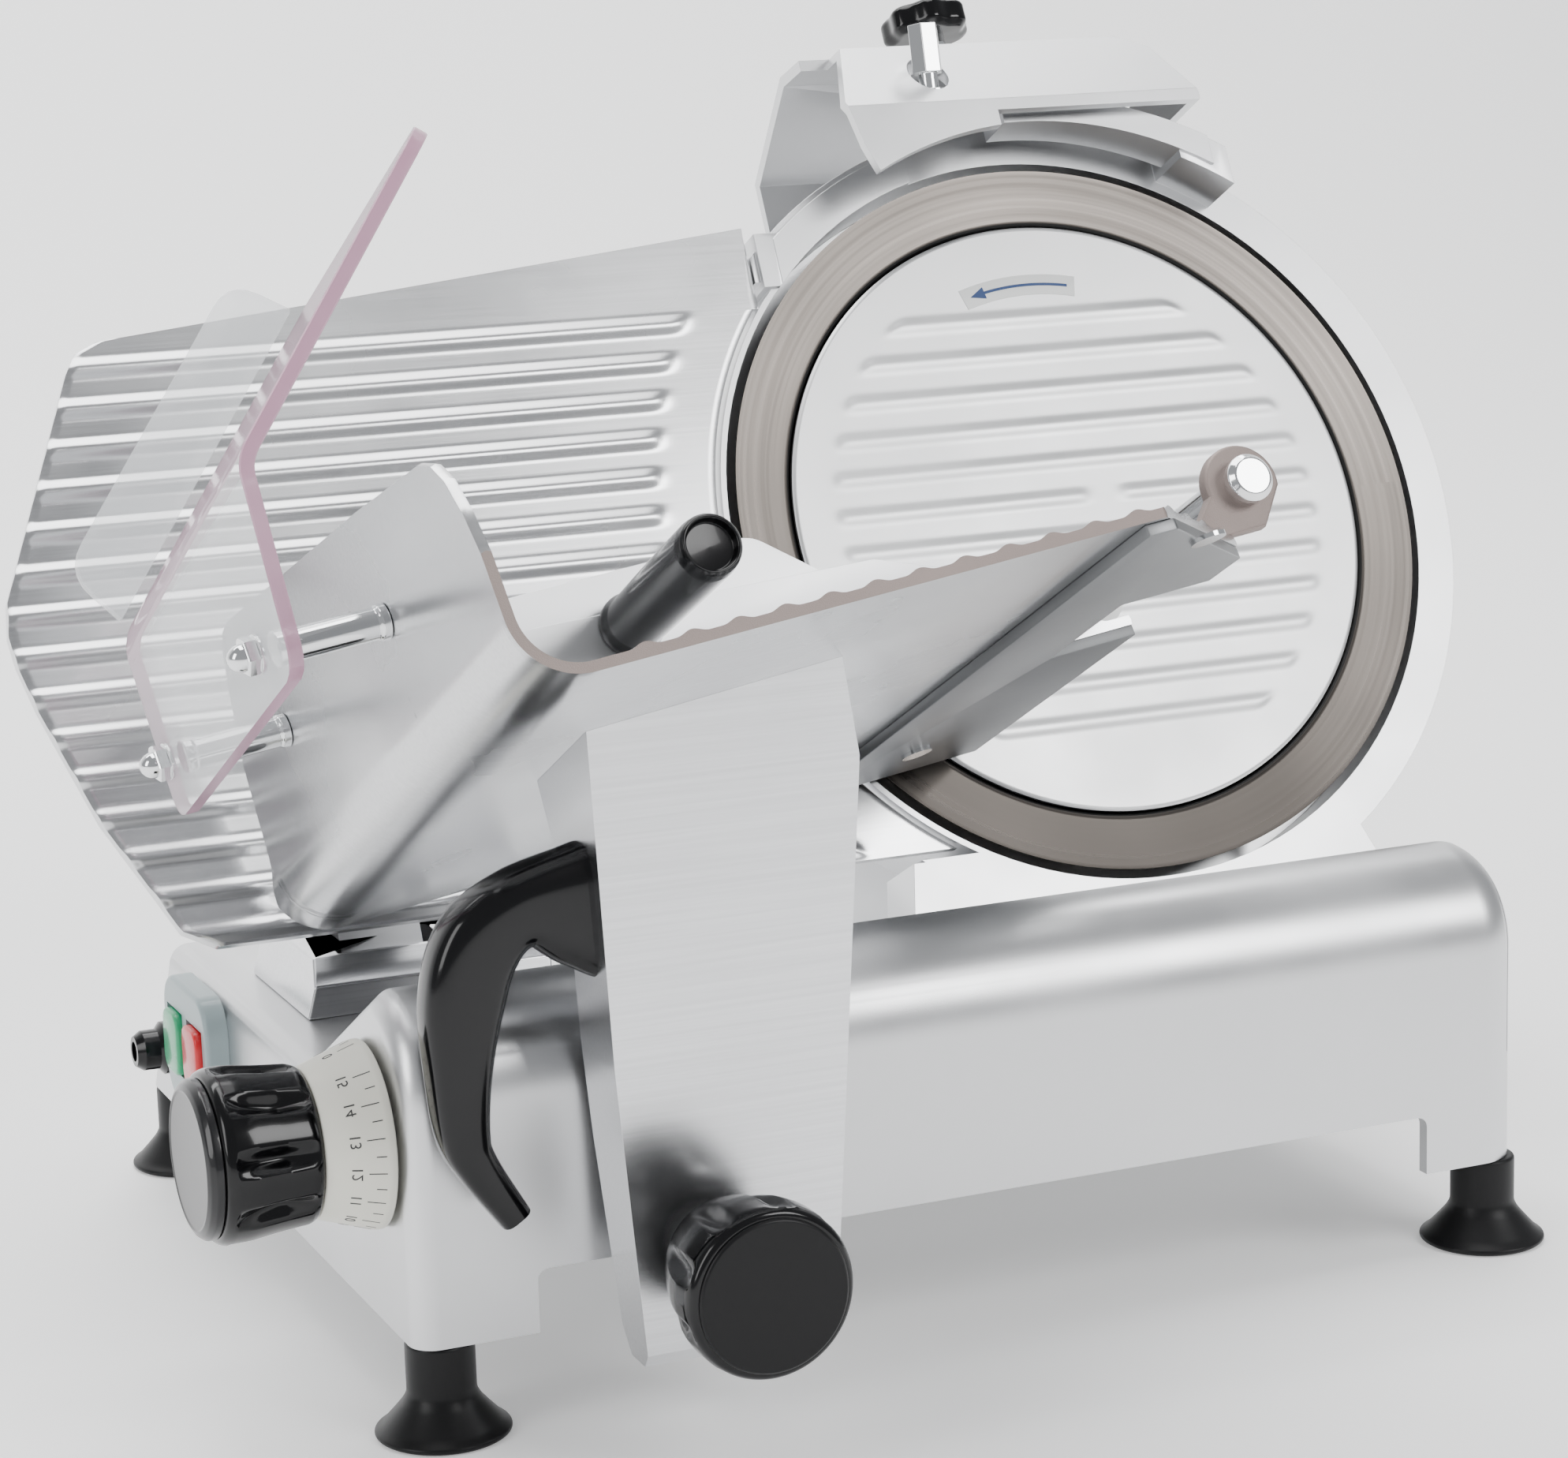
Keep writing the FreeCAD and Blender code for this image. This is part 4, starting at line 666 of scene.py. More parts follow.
@dataclass(frozen=True)
class MetalFinish:
    """A bare metal surface.

    Attributes:
        name: the material's name.
        shade: the base grey, as red, green and blue.
        rough: the middle roughness.
        grain: how the surface was worked.
        relief: strength of the worked relief.
    """

    name: str
    shade: tuple[float, float, float]
    rough: float
    grain: Grain
    relief: float = 0.2

    def material(self) -> Material:
        """Build the material, or return it if it is there already.

        Returns:
            The material.
        """
        if self.name in bpy.data.materials:
            return bpy.data.materials[self.name]
        bench = Bench(self.name)
        bench.set(Metallic=1.0)
        darker = tuple(value * 0.9 for value in self.shade)
        if self.grain is Grain.CAST:
            node = bench.group(cast_group)
            bench.colours(node.outputs["Mottle"], darker, self.shade)
            bench.ramp(node.outputs["Mottle"], "Roughness", self.rough - 0.05, self.rough + 0.05)
            bench.bump(node.outputs["Height"], self.relief, 0.0002)
        elif self.grain is Grain.BRUSHED:
            node = bench.group(brushed_group)
            bench.colours(node.outputs["Lines"], darker, self.shade)
            bench.ramp(node.outputs["Mottle"], "Roughness", self.rough - 0.06, self.rough + 0.06)
            bench.bump(node.outputs["Lines"], self.relief, 0.0001)
        else:
            # Turned steel: the colour runs from 0.6 of the shade to the full shade over broad noise patches,
            # a painted sheen for the ground blade's reflections; the rings set roughness and bump.
            node = bench.group(turned_group)
            bench.colours(node.outputs["Painted Sheen"], tuple(value * 0.6 for value in self.shade), self.shade)
            bench.ramp(node.outputs["Rings"], "Roughness", self.rough - 0.05, self.rough + 0.08)
            bench.bump(node.outputs["Rings"], self.relief, 0.00005)
            bench.set(Anisotropic=0.6)
        return bench.material


@dataclass(frozen=True)
class PlasticFinish:
    """A moulded or rubber surface.

    Attributes:
        name: the material's name.
        shade: the base colour.
        rough: the middle roughness.
        coat: weight of the clear gloss on top.
        relief: strength of the fine moulded grain.
    """

    name: str
    shade: tuple[float, float, float]
    rough: float
    coat: float = 0.0
    relief: float = 0.1

    def material(self) -> Material:
        """Build the material, or return it if it is there already.

        Returns:
            The material.
        """
        if self.name in bpy.data.materials:
            return bpy.data.materials[self.name]
        bench = Bench(self.name)
        bench.set(Specular_IOR_Level=0.25, Coat_Weight=self.coat, Coat_Roughness=0.05)
        wear = bench.group(wear_group)
        grain = bench.group(cast_group, Grain_Scale=1800.0)
        lighter = tuple(min(value * 1.25 + 0.001, 1.0) for value in self.shade)
        bench.colours(wear.outputs["Patches"], self.shade, lighter)
        bench.ramp(wear.outputs["Patches"], "Roughness", self.rough - 0.04, self.rough + 0.08)
        bench.bump(grain.outputs["Height"], self.relief, 0.0001)
        return bench.material


@dataclass(frozen=True)
class ClearFinish:
    """A clear sheet, or the tinted look of its sawn edge.

    Attributes:
        name: the material's name.
        shade: the tint.
        clear: how much light passes.
        rough: the roughness.
    """

    name: str
    shade: tuple[float, float, float]
    clear: float
    rough: float

    def material(self) -> Material:
        """Build the material, or return it if it is there already.

        Returns:
            The material.
        """
        if self.name in bpy.data.materials:
            return bpy.data.materials[self.name]
        bench = Bench(self.name)
        bench.set(Base_Color=(*self.shade, 1), Transmission_Weight=self.clear, IOR=1.49)
        wear = bench.group(wear_group)
        bench.ramp(wear.outputs["Patches"], "Roughness", self.rough, self.rough + 0.015)
        return bench.material


Finish = Union[MetalFinish, PlasticFinish, ClearFinish]

SATIN_CAST = MetalFinish("satin_cast_aluminium", (0.72, 0.725, 0.735), 0.34, Grain.CAST, 0.12)
POLISHED_CAST = MetalFinish("polished_arm", (0.76, 0.765, 0.78), 0.20, Grain.BRUSHED, 0.04)
PLATE_METAL = MetalFinish("satin_plate", (0.70, 0.705, 0.715), 0.25, Grain.BRUSHED, 0.05)
COVER_METAL = MetalFinish("blasted_cover", (0.76, 0.765, 0.77), 0.42, Grain.CAST, 0.08)
STRIP_METAL = MetalFinish("strip_plate", (0.24, 0.245, 0.25), 0.42, Grain.CAST, 0.08)
SAWN_METAL = MetalFinish("sawn_edge", (0.34, 0.285, 0.265), 0.6, Grain.CAST, 0.6)
BLADE_STEEL = MetalFinish("ground_blade", (0.165, 0.148, 0.134), 0.30, Grain.TURNED, 0.10)
# Near-black finish for the blade's dish wall: painted shade in the narrow deep gap between the centre cover
# and the blade.
DISH_PAINTED_SHADE = MetalFinish("blade_dish_painted_shade", (0.03, 0.03, 0.03), 0.5, Grain.CAST, 0.05)
BRIGHT_STEEL = MetalFinish("bright_steel", (0.78, 0.78, 0.78), 0.12, Grain.BRUSHED, 0.03)
GROUND_STEEL = MetalFinish("ground_rod", (0.66, 0.665, 0.67), 0.2, Grain.BRUSHED, 0.04)
ZINC_STEEL = MetalFinish("zinc_plated", (0.58, 0.59, 0.6), 0.35, Grain.CAST, 0.08)
BRASS = MetalFinish("bush_brass", (0.72, 0.55, 0.28), 0.3, Grain.BRUSHED, 0.05)
BLACK_PLASTIC = PlasticFinish("black_knob_plastic", (0.0015, 0.0015, 0.002), 0.14, 0.2, 0.03)
CAP_PLASTIC = PlasticFinish("knob_cap", (0.006, 0.006, 0.007), 0.3, 0.4, 0.06)
DARK_CAP = PlasticFinish("lock_cap", (0.004, 0.004, 0.0045), 0.34, 0.0, 0.08)
CREAM_PLASTIC = PlasticFinish("scale_plastic", (0.72, 0.71, 0.63), 0.35, 0.1, 0.05)
NYLON = PlasticFinish("white_nylon", (0.8, 0.8, 0.78), 0.45, 0.0, 0.08)
GREEN_PLASTIC = PlasticFinish("green_button_plastic", (0.02, 0.30, 0.13), 0.22, 0.3, 0.04)
RED_PLASTIC = PlasticFinish("red_button_plastic", (0.52, 0.015, 0.02), 0.22, 0.3, 0.04)
SWITCH_PLASTIC = PlasticFinish("switch_frame_plastic", (0.25, 0.31, 0.32), 0.3, 0.2, 0.05)
BLACK_RUBBER = PlasticFinish("foot_rubber", (0.004, 0.004, 0.0045), 0.4, 0.0, 0.18)
MOTOR_PAINT = PlasticFinish("motor_paint", (0.02, 0.021, 0.023), 0.45, 0.1, 0.2)
STONE = PlasticFinish("grinding_grit", (0.30, 0.28, 0.26), 0.9, 0.0, 0.9)
INK = PlasticFinish("scale_ink", (0.06, 0.06, 0.06), 0.5, 0.0, 0.02)
LABEL_WHITE = PlasticFinish("label_pale", (0.70, 0.71, 0.70), 0.4, 0.1, 0.02)
LABEL_BLUE = PlasticFinish("label_blue", (0.03, 0.06, 0.16), 0.4, 0.1, 0.02)
CLEAR_SHEET = ClearFinish("clear_acrylic", (0.97, 0.985, 0.99), 1.0, 0.0)
PINK_EDGE = ClearFinish("acrylic_edge", (0.50, 0.27, 0.37), 0.2, 0.25)

NODE_FINISHES = {
    "base_housing": SATIN_CAST, "blade_housing": SATIN_CAST, "motor_cover": SATIN_CAST,
    "carriage_arm": POLISHED_CAST, "tray": PLATE_METAL, "tray_strip": PLATE_METAL, "gauge_plate": PLATE_METAL,
    "gauge_rail": POLISHED_CAST, "gauge_bracket": SATIN_CAST, "disc_cover": COVER_METAL,
    "sharpener_cover": SATIN_CAST, "bottom_plate": ZINC_STEEL, "rubber_feet": BLACK_RUBBER,
    "foot_bolts": ZINC_STEEL, "slide_rod": GROUND_STEEL, "rod_brackets": SATIN_CAST,
    "guide_bar": GROUND_STEEL,
    "motor_body": MOTOR_PAINT, "motor_bracket": ZINC_STEEL, "motor_rotor": GROUND_STEEL,
    "motor_pulley": ZINC_STEEL, "blade_bearings": GROUND_STEEL, "drive_belt": BLACK_RUBBER,
    "blade": GROUND_STEEL, "blade_hub": SATIN_CAST, "blade_shaft": GROUND_STEEL, "blade_pulley": ZINC_STEEL,
    "blade_screws": ZINC_STEEL, "tie_rod": GROUND_STEEL, "tie_rod_knob": BLACK_PLASTIC,
    "switch_housing": SWITCH_PLASTIC, "cable_gland": BLACK_PLASTIC, "start_button": GREEN_PLASTIC,
    "stop_button": RED_PLASTIC, "gauge_guide_rods": GROUND_STEEL, "dial_knob": BLACK_PLASTIC,
    "dial_cap": CAP_PLASTIC, "dial_scale": CREAM_PLASTIC, "dial_spindle": GROUND_STEEL,
    "slide_block": SATIN_CAST, "slide_bushings": BRASS, "strip_screws": BRIGHT_STEEL,
    "carriage_handle": BLACK_PLASTIC, "hand_guard": CLEAR_SHEET, "guard_posts": BRIGHT_STEEL,
    "acorn_nuts": BRIGHT_STEEL, "pusher_rod": BRIGHT_STEEL, "rod_end_bolt": BRIGHT_STEEL,
    "lock_knob": BLACK_PLASTIC, "lock_stud": BRIGHT_STEEL, "pusher_bush": NYLON, "pusher_arm": SATIN_CAST,
    "pusher_plate": SATIN_CAST, "pusher_handle": BLACK_PLASTIC, "sharpener_post": BRIGHT_STEEL,
    "sharpener_knob": BLACK_PLASTIC, "grinding_stone": STONE, "honing_stone": STONE,
    "sharpening_pin": BRIGHT_STEEL, "honing_pin": BRIGHT_STEEL,
}


# ---- sub-assemblies -------------------------------------------------------------------------------------

class Assembly:
    """A sub-assembly: it builds meshes, dresses them and puts each on the CAD body that carries it."""

    body: str = "machine_frame"

    def adopt(self, piece: Object, slot: str, finish: Finish, *nodes: str,
              body: Optional[str] = None) -> Object:
        """Dress a piece, put it on its body and hide the CAD nodes that it stands for.

        Args:
            piece: the new piece.
            slot: the record's material slot; not used.
            finish: the finish whose material it gets.
            nodes: CAD nodes that it replaces.
            body: the CAD body that carries it, if it isn't the sub-assembly's own.

        Returns:
            The same piece.
        """
        piece.data.materials.append(finish.material())
        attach(piece, body or self.body)
        if nodes:
            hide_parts(*nodes)
        LOG.info("%s on %s, %d points", piece.name, body or self.body, len(piece.data.vertices))
        return piece


def rib_height(across: Array, pitch: float, width: float, high: float, phase: float) -> Array:
    """Low round ribs: at a distance d from the nearest rib's middle the height is
    high times (cosine of pi d / width) squared-off smoothly, and zero past half the width.

    Args:
        across: places across the ribs.
        pitch: distance between ribs.
        width: a rib's width.
        high: a rib's height.
        phase: one rib's place.

    Returns:
        The height at each place.
    """
    distance = np.abs((across - phase + pitch / 2) % pitch - pitch / 2)
    return high * np.where(distance < width / 2, 0.5 + 0.5 * np.cos(2 * math.pi * distance / width), 0.0)


@dataclass
class GaugePlate(Assembly):
    """The ribbed plate that sets the slice, hollowed round the blade."""

    body: str = "gauge"
    top: float = 132.9
    low: float = -130.9
    thick: float = 5.0
    rib_high: float = 1.5
    pitch: float = 15.7
    arc: float = 157.7

    def left_edge(self, up: Array) -> Array:
        """The left edge's x for each height on the plate, through the outline's own corner points.

        Args:
            up: heights on the plate.

        Returns:
            The edge's x at each height.
        """
        heights = np.array([self.low, -124.0, -112.0, -80.0, -36.0, -18.0, -7.0, 6.0, 92.0, 100.0, 104.5,
                            107.0, self.top])
        places = np.array([-384.0, -396.5, -402.5, -419.0, -434.5, -439.3, -440.6, -439.0, -403.2, -398.5,
                           -389.0, -365.0, -121.5])
        return np.interp(up, heights, places)

    def right_edge(self, up: Array) -> Array:
        """The right edge's x: the arc round the blade, and the straight end above it."""
        inside = np.clip(self.arc ** 2 - up ** 2, 0.0, None)
        return np.where(up > 98.0, -121.2, np.minimum(-np.sqrt(inside), -87.5))

    def build(self) -> None:
        """The skin is a stack of closed loops, one at each height on the plate: along the face with its
        ribs, round the right rim, back along the rear and round the left rim."""
        rows = np.unique(np.concatenate([np.linspace(self.low, 97.9, 300), np.linspace(98.1, self.top, 40)]))
        across = np.linspace(0.0, 1.0, 150)
        left, right = self.left_edge(rows)[:, None], self.right_edge(rows)[:, None]
        x = left + (right - left) * across
        height = rib_height(rows, self.pitch, 10.5, self.rib_high, 94.0)[:, None]
        rib_end = -np.sqrt(np.clip(178.0 ** 2 - rows ** 2, 0.0, None))[:, None]
        fade = 1 / (1 + np.exp((x - rib_end + 4.0) / 1.3))
        fade = fade * (rows < 100.0)[:, None]
        face = -self.rib_high + height * fade
        face = face - 0.6 * ((across < 1e-6) | (across > 1 - 1e-6))
        front = np.stack([x, np.broadcast_to(rows[:, None], x.shape), face], axis=-1)
        back_x = right + (left - right) * np.linspace(0.0, 1.0, 12)
        back = np.stack([back_x, np.broadcast_to(rows[:, None], back_x.shape),
                         np.full(back_x.shape, -self.rib_high - self.thick)], axis=-1)
        plate = loft("gauge_plate_face", np.concatenate([front, back], axis=1), BLADE, sharp=40)
        self.adopt(plate, "brushed_plate", PLATE_METAL, "gauge_plate")


@dataclass
class BladeUnit(Assembly):
    """The blade, and the still cover in its dish with the direction label."""

    body: str = "blade"
    radius: float = 149.9
    land: float = 127.5
    cover_radius: float = 125.5
    face: float = -0.9
    pitch: float = 15.7

    def build(self) -> None:
        """Build the blade, the cover and the label."""
        self.build_blade()
        self.build_cover()
        self.build_label()

    def build_blade(self) -> None:
        """The blade's closed profile carried round its axis: dished middle, shoulder, ground face, edge. The
        dish wall inside the land gets a near-black finish, painted shade for the deep gap round the cover.
        """
        profile = [(20.2, -9.0), (122.5, -9.0), (124.0, -8.6), (126.6, -3.2), (127.6, -2.5), (129.2, -2.3),
                   (self.radius - 1.6, -0.35), (self.radius, -0.1), (self.radius, -0.5),
                   (self.radius - 3, -1.4), (131.0, -7.3), (126.0, -11.4), (20.2, -11.4)]
        blade = ring_solid("blade_body", profile, BLADE, steps=360)
        self.adopt(blade, "blade_steel", BLADE_STEEL, "blade")
        # Faces inside the land on the dish side get the near-black finish, painted shade for the gap round
        # the cover.
        blade.data.materials.append(DISH_PAINTED_SHADE.material())
        centres = face_centres(blade, BLADE)
        inner = (np.hypot(centres[:, 0], centres[:, 1]) < self.land - 0.1) & (centres[:, 2] > -9.5)
        blade.data.polygons.foreach_set("material_index", inner.astype(np.int32))

    def build_cover(self) -> None:
        """A disc of rings whose height follows the ribs: a rib's height times a fade at its two ends."""
        radii = np.concatenate([np.linspace(0.05, self.cover_radius - 1.0, 150),
                                self.cover_radius - 0.6 * (1 - np.sin(np.linspace(0.3, math.pi / 2, 4)))])
        angle = np.linspace(0, 2 * math.pi, 512, endpoint=False)
        x = radii[:, None] * np.cos(angle)
        y = radii[:, None] * np.sin(angle)
        height = rib_height(y, self.pitch, 9.0, 0.9, 86.0 - 0.3)
        span = np.sqrt(np.clip((self.cover_radius - 17.0) ** 2 - y ** 2, 0.0, None))
        fade = 1 / (1 + np.exp((np.abs(x) - span + 2.0) / 1.1))
        middle_rib = np.abs(y - (86.0 - 0.3 - 5 * self.pitch)) < self.pitch / 2
        gap = 1 - np.exp(-((x - 12.0) / 9.0) ** 4)
        height = height * fade * np.where(middle_rib, gap, 1.0) * (np.abs(y) < 94.0)
        rim = np.where(radii > self.cover_radius - 1.0, (radii - self.cover_radius + 1.0) * 0.7, 0.0)[:, None]
        top = np.stack([x, y, self.face - 0.75 + height * 0.82 - rim], axis=-1)
        under = [np.column_stack([np.cos(angle) * r, np.sin(angle) * r, np.full(512, z)])
                 for r, z in ((self.cover_radius, self.face - 3.0), (40.0, self.face - 3.0),
                              (11.0, self.face - 3.1), (11.0, -8.6))]
        cover = loft("centre_cover_face", np.concatenate([top, np.stack(under)]), BLADE, sharp=45)
        self.adopt(cover, "brushed_plate", COVER_METAL, "disc_cover", body="machine_frame")

    def build_label(self) -> None:
        """A plain pale band on the cover with a curved arrow that shows which way the blade turns."""
        seat = BLADE.moved(0.0, 0.0, self.face - 0.72)
        sheet = slab("label_sheet", self.arc_outline(95.6, 104.4, 78.0, 108.0), 0, 0.16, seat, 0.05)
        self.adopt(sheet, "brushed_plate", LABEL_WHITE, body="machine_frame")
        shaft = self.arc_outline(99.4, 100.6, 80.0, 102.0)
        half = len(shaft) // 2
        turn = np.radians([102.0, 106.0, 102.0])
        head = np.column_stack([np.cos(turn), np.sin(turn)]) * np.array([[102.6], [100.0], [97.4]])
        arrow = np.concatenate([shaft[:half], head, shaft[half:]])
        loops = np.stack([np.column_stack([arrow, np.full(len(arrow), z)]) for z in (0.14, 0.24)])
        mark = loft("label_arrow", loops, seat)
        self.adopt(mark, "brushed_plate", LABEL_BLUE, body="machine_frame")

    def arc_outline(self, inner: float, outer: float, start: float, end: float) -> Array:
        """The outline of a band round the blade's axis, between two radii and two angles in degrees."""
        angle = np.radians(np.linspace(start, end, 40))
        rim = np.column_stack([np.cos(angle), np.sin(angle)])
        return np.concatenate([rim * outer, rim[::-1] * inner])


@dataclass
class FoodTray(Assembly):
    """The tray: a ribbed floor and a wall, folded from one plate and cut back at its far near corner."""

    body: str = "carriage"
    under: float = -79.0
    thick: float = 3.5
    left: float = -377.0
    right: float = -88.0
    near: float = 315.0
    gap: float = 3.0
    fold: float = 22.0
    pitch: float = 15.7
    notch: tuple[float, float, float] = (155.0, 215.0, 36.0)

    def sheet(self, along: Array, depth: Array) -> Array:
        """Points of the folded sheet: floor, quarter fold, wall.

        Args:
            along: distance from the floor's right edge, along the outside of the sheet.
            depth: distance in from the outside face.

        Returns:
            The points (q, m) as two last columns.
        """
        floor = self.right - self.left - self.fold
        turn = self.fold * math.pi / 2
        angle = np.clip((along - floor) / self.fold, 0, math.pi / 2)
        flat = np.minimum(along, floor)
        rise = np.clip(along - floor - turn, 0, None)
        centre_q, centre_m = self.left + self.fold, self.under + self.fold
        q = np.where(along < floor, self.right - flat, centre_q - (self.fold - depth) * np.sin(angle))
        m = np.where(along < floor, self.under + depth, centre_m - (self.fold - depth) * np.cos(angle) + rise)
        return np.stack([q, m], axis=-1)

    def wall_reach(self, n: Array) -> Array:
        """How far up the sheet the wall goes at each distance from the blade.

        Args:
            n: distances from the blade.

        Returns:
            Distances along the outside of the sheet.
        """
        distances = np.array([3, 17, 24, 36, 44, 52, 62, 90, 225, 290, 300, 307, 312, 315])
        heights = np.array([-66, -53, -17, 7, 20, 26.5, 27.5, 24.5, 10, 1.5, -2.5, -10, -22, -36])
        floor = self.right - self.left - self.fold
        base = floor + self.fold * math.pi / 2
        return base + np.interp(n, distances, heights) - (self.under + self.fold)

    def floor_start(self, n: Array) -> Array:
        """How far the floor's right edge is cut back at each distance from the blade.

        Args:
            n: distances from the blade.

        Returns:
            Distances along the outside of the sheet.
        """
        corner = np.clip((n - (self.near - 75)) / 75 * 67, 0, None)
        low, high, deep = self.notch
        return np.maximum(corner, np.where((n > low) & (n < high), deep, 0.0))

    def build(self) -> None:
        """Closed loops at each distance from the blade: along the outside of the sheet, round the wall's
        top, and back along the inside with the ribs; the last loop is the wavy near edge."""
        low, high, _ = self.notch
        rows = np.unique(np.concatenate([np.linspace(self.gap, self.near, 150),
                                         [low, low + 0.02, high - 0.02, high],
                                         np.linspace(self.gap, 60, 40), np.linspace(298, self.near, 24)]))
        start, stop = self.floor_start(rows)[:, None], self.wall_reach(rows)[:, None]
        part = np.linspace(0, 1, 260)[None, :]
        along = start + (stop - start) * part
        edge = 0.6
        outside = self.sheet(along, np.zeros_like(along))
        floor = self.right - self.left - self.fold
        ribs = rib_height(along, self.pitch, 11.0, 1.5, 14.0) * (along < floor - 6) * (along > 10)
        inside = self.sheet(along, self.thick + ribs)[:, ::-1]
        rim_top = self.sheet(stop + edge, np.full_like(stop, self.thick / 2))
        rim_low = self.sheet(start - edge * 0.5, np.full_like(start, self.thick / 2))
        loops = np.concatenate([outside, rim_top, inside, rim_low], axis=1)
        n = np.broadcast_to(rows[:, None, None], loops.shape[:2] + (1,))
        tray = loft("tray_sheet", np.concatenate([loops, n], axis=-1), TRAY, sharp=50)
        self.adopt(tray, "brushed_plate", PLATE_METAL, "tray")
        self.mark_edge(tray)
        self.build_ears()
        self.build_strip()

    def mark_edge(self, tray: Object) -> None:
        """Give the near end face the sawn finish."""
        tray.data.materials.append(SAWN_METAL.material())
        near = face_centres(tray, TRAY)[:, 2] > self.near - 0.01
        tray.data.polygons.foreach_set("material_index", near.astype(np.int32))

    def build_ears(self) -> None:
        """The two upright ears that hold the pusher's rod, each a rounded plate across the tray."""
        middle = np.mean(np.array(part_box("pusher_rod"), dtype=float), axis=0)
        q, m, _ = (middle - TRAY.origin) @ TRAY.axes.T / MM
        for name, n, thick in (("near_ear", self.near - 78, 6.0), ("far_ear", self.gap, 8.0)):
            angle = np.linspace(-0.25, math.pi + 0.1, 28)
            arc = np.column_stack([q + 14 * np.cos(angle), m + 14 * np.sin(angle)])
            outline = np.vstack([arc, [(q - 28, self.under + 3.6), (q + 3, self.under + 3.6)]])
            ear = slab(name, outline, n, n + thick, TRAY, 1.2)
            self.adopt(ear, "satin_cast", SAWN_METAL if name == "near_ear" else SATIN_CAST)

    def build_strip(self) -> None:
        """The flat strip under the floor's right edge, with its notch, as one outlined plate."""
        low, high, deep = self.notch
        right, near = self.right, self.near
        outline = [(right - 74, 6), (right, 6), (right, low), (right - deep, low), (right - deep, high),
                   (right, high), (right, near - 76), (right - 63, near - 3), (right - 74, near - 3)]
        seat = TRAY.moved(0, self.under, 0).facing((1, 0, 0), (0, 0, 1))
        strip = slab("tray_strip_plate", softened_corners(outline, 0.8, steps=3), 0.02, 4.0, seat, 0.4)
        self.adopt(strip, "brushed_plate", STRIP_METAL, "tray_strip")


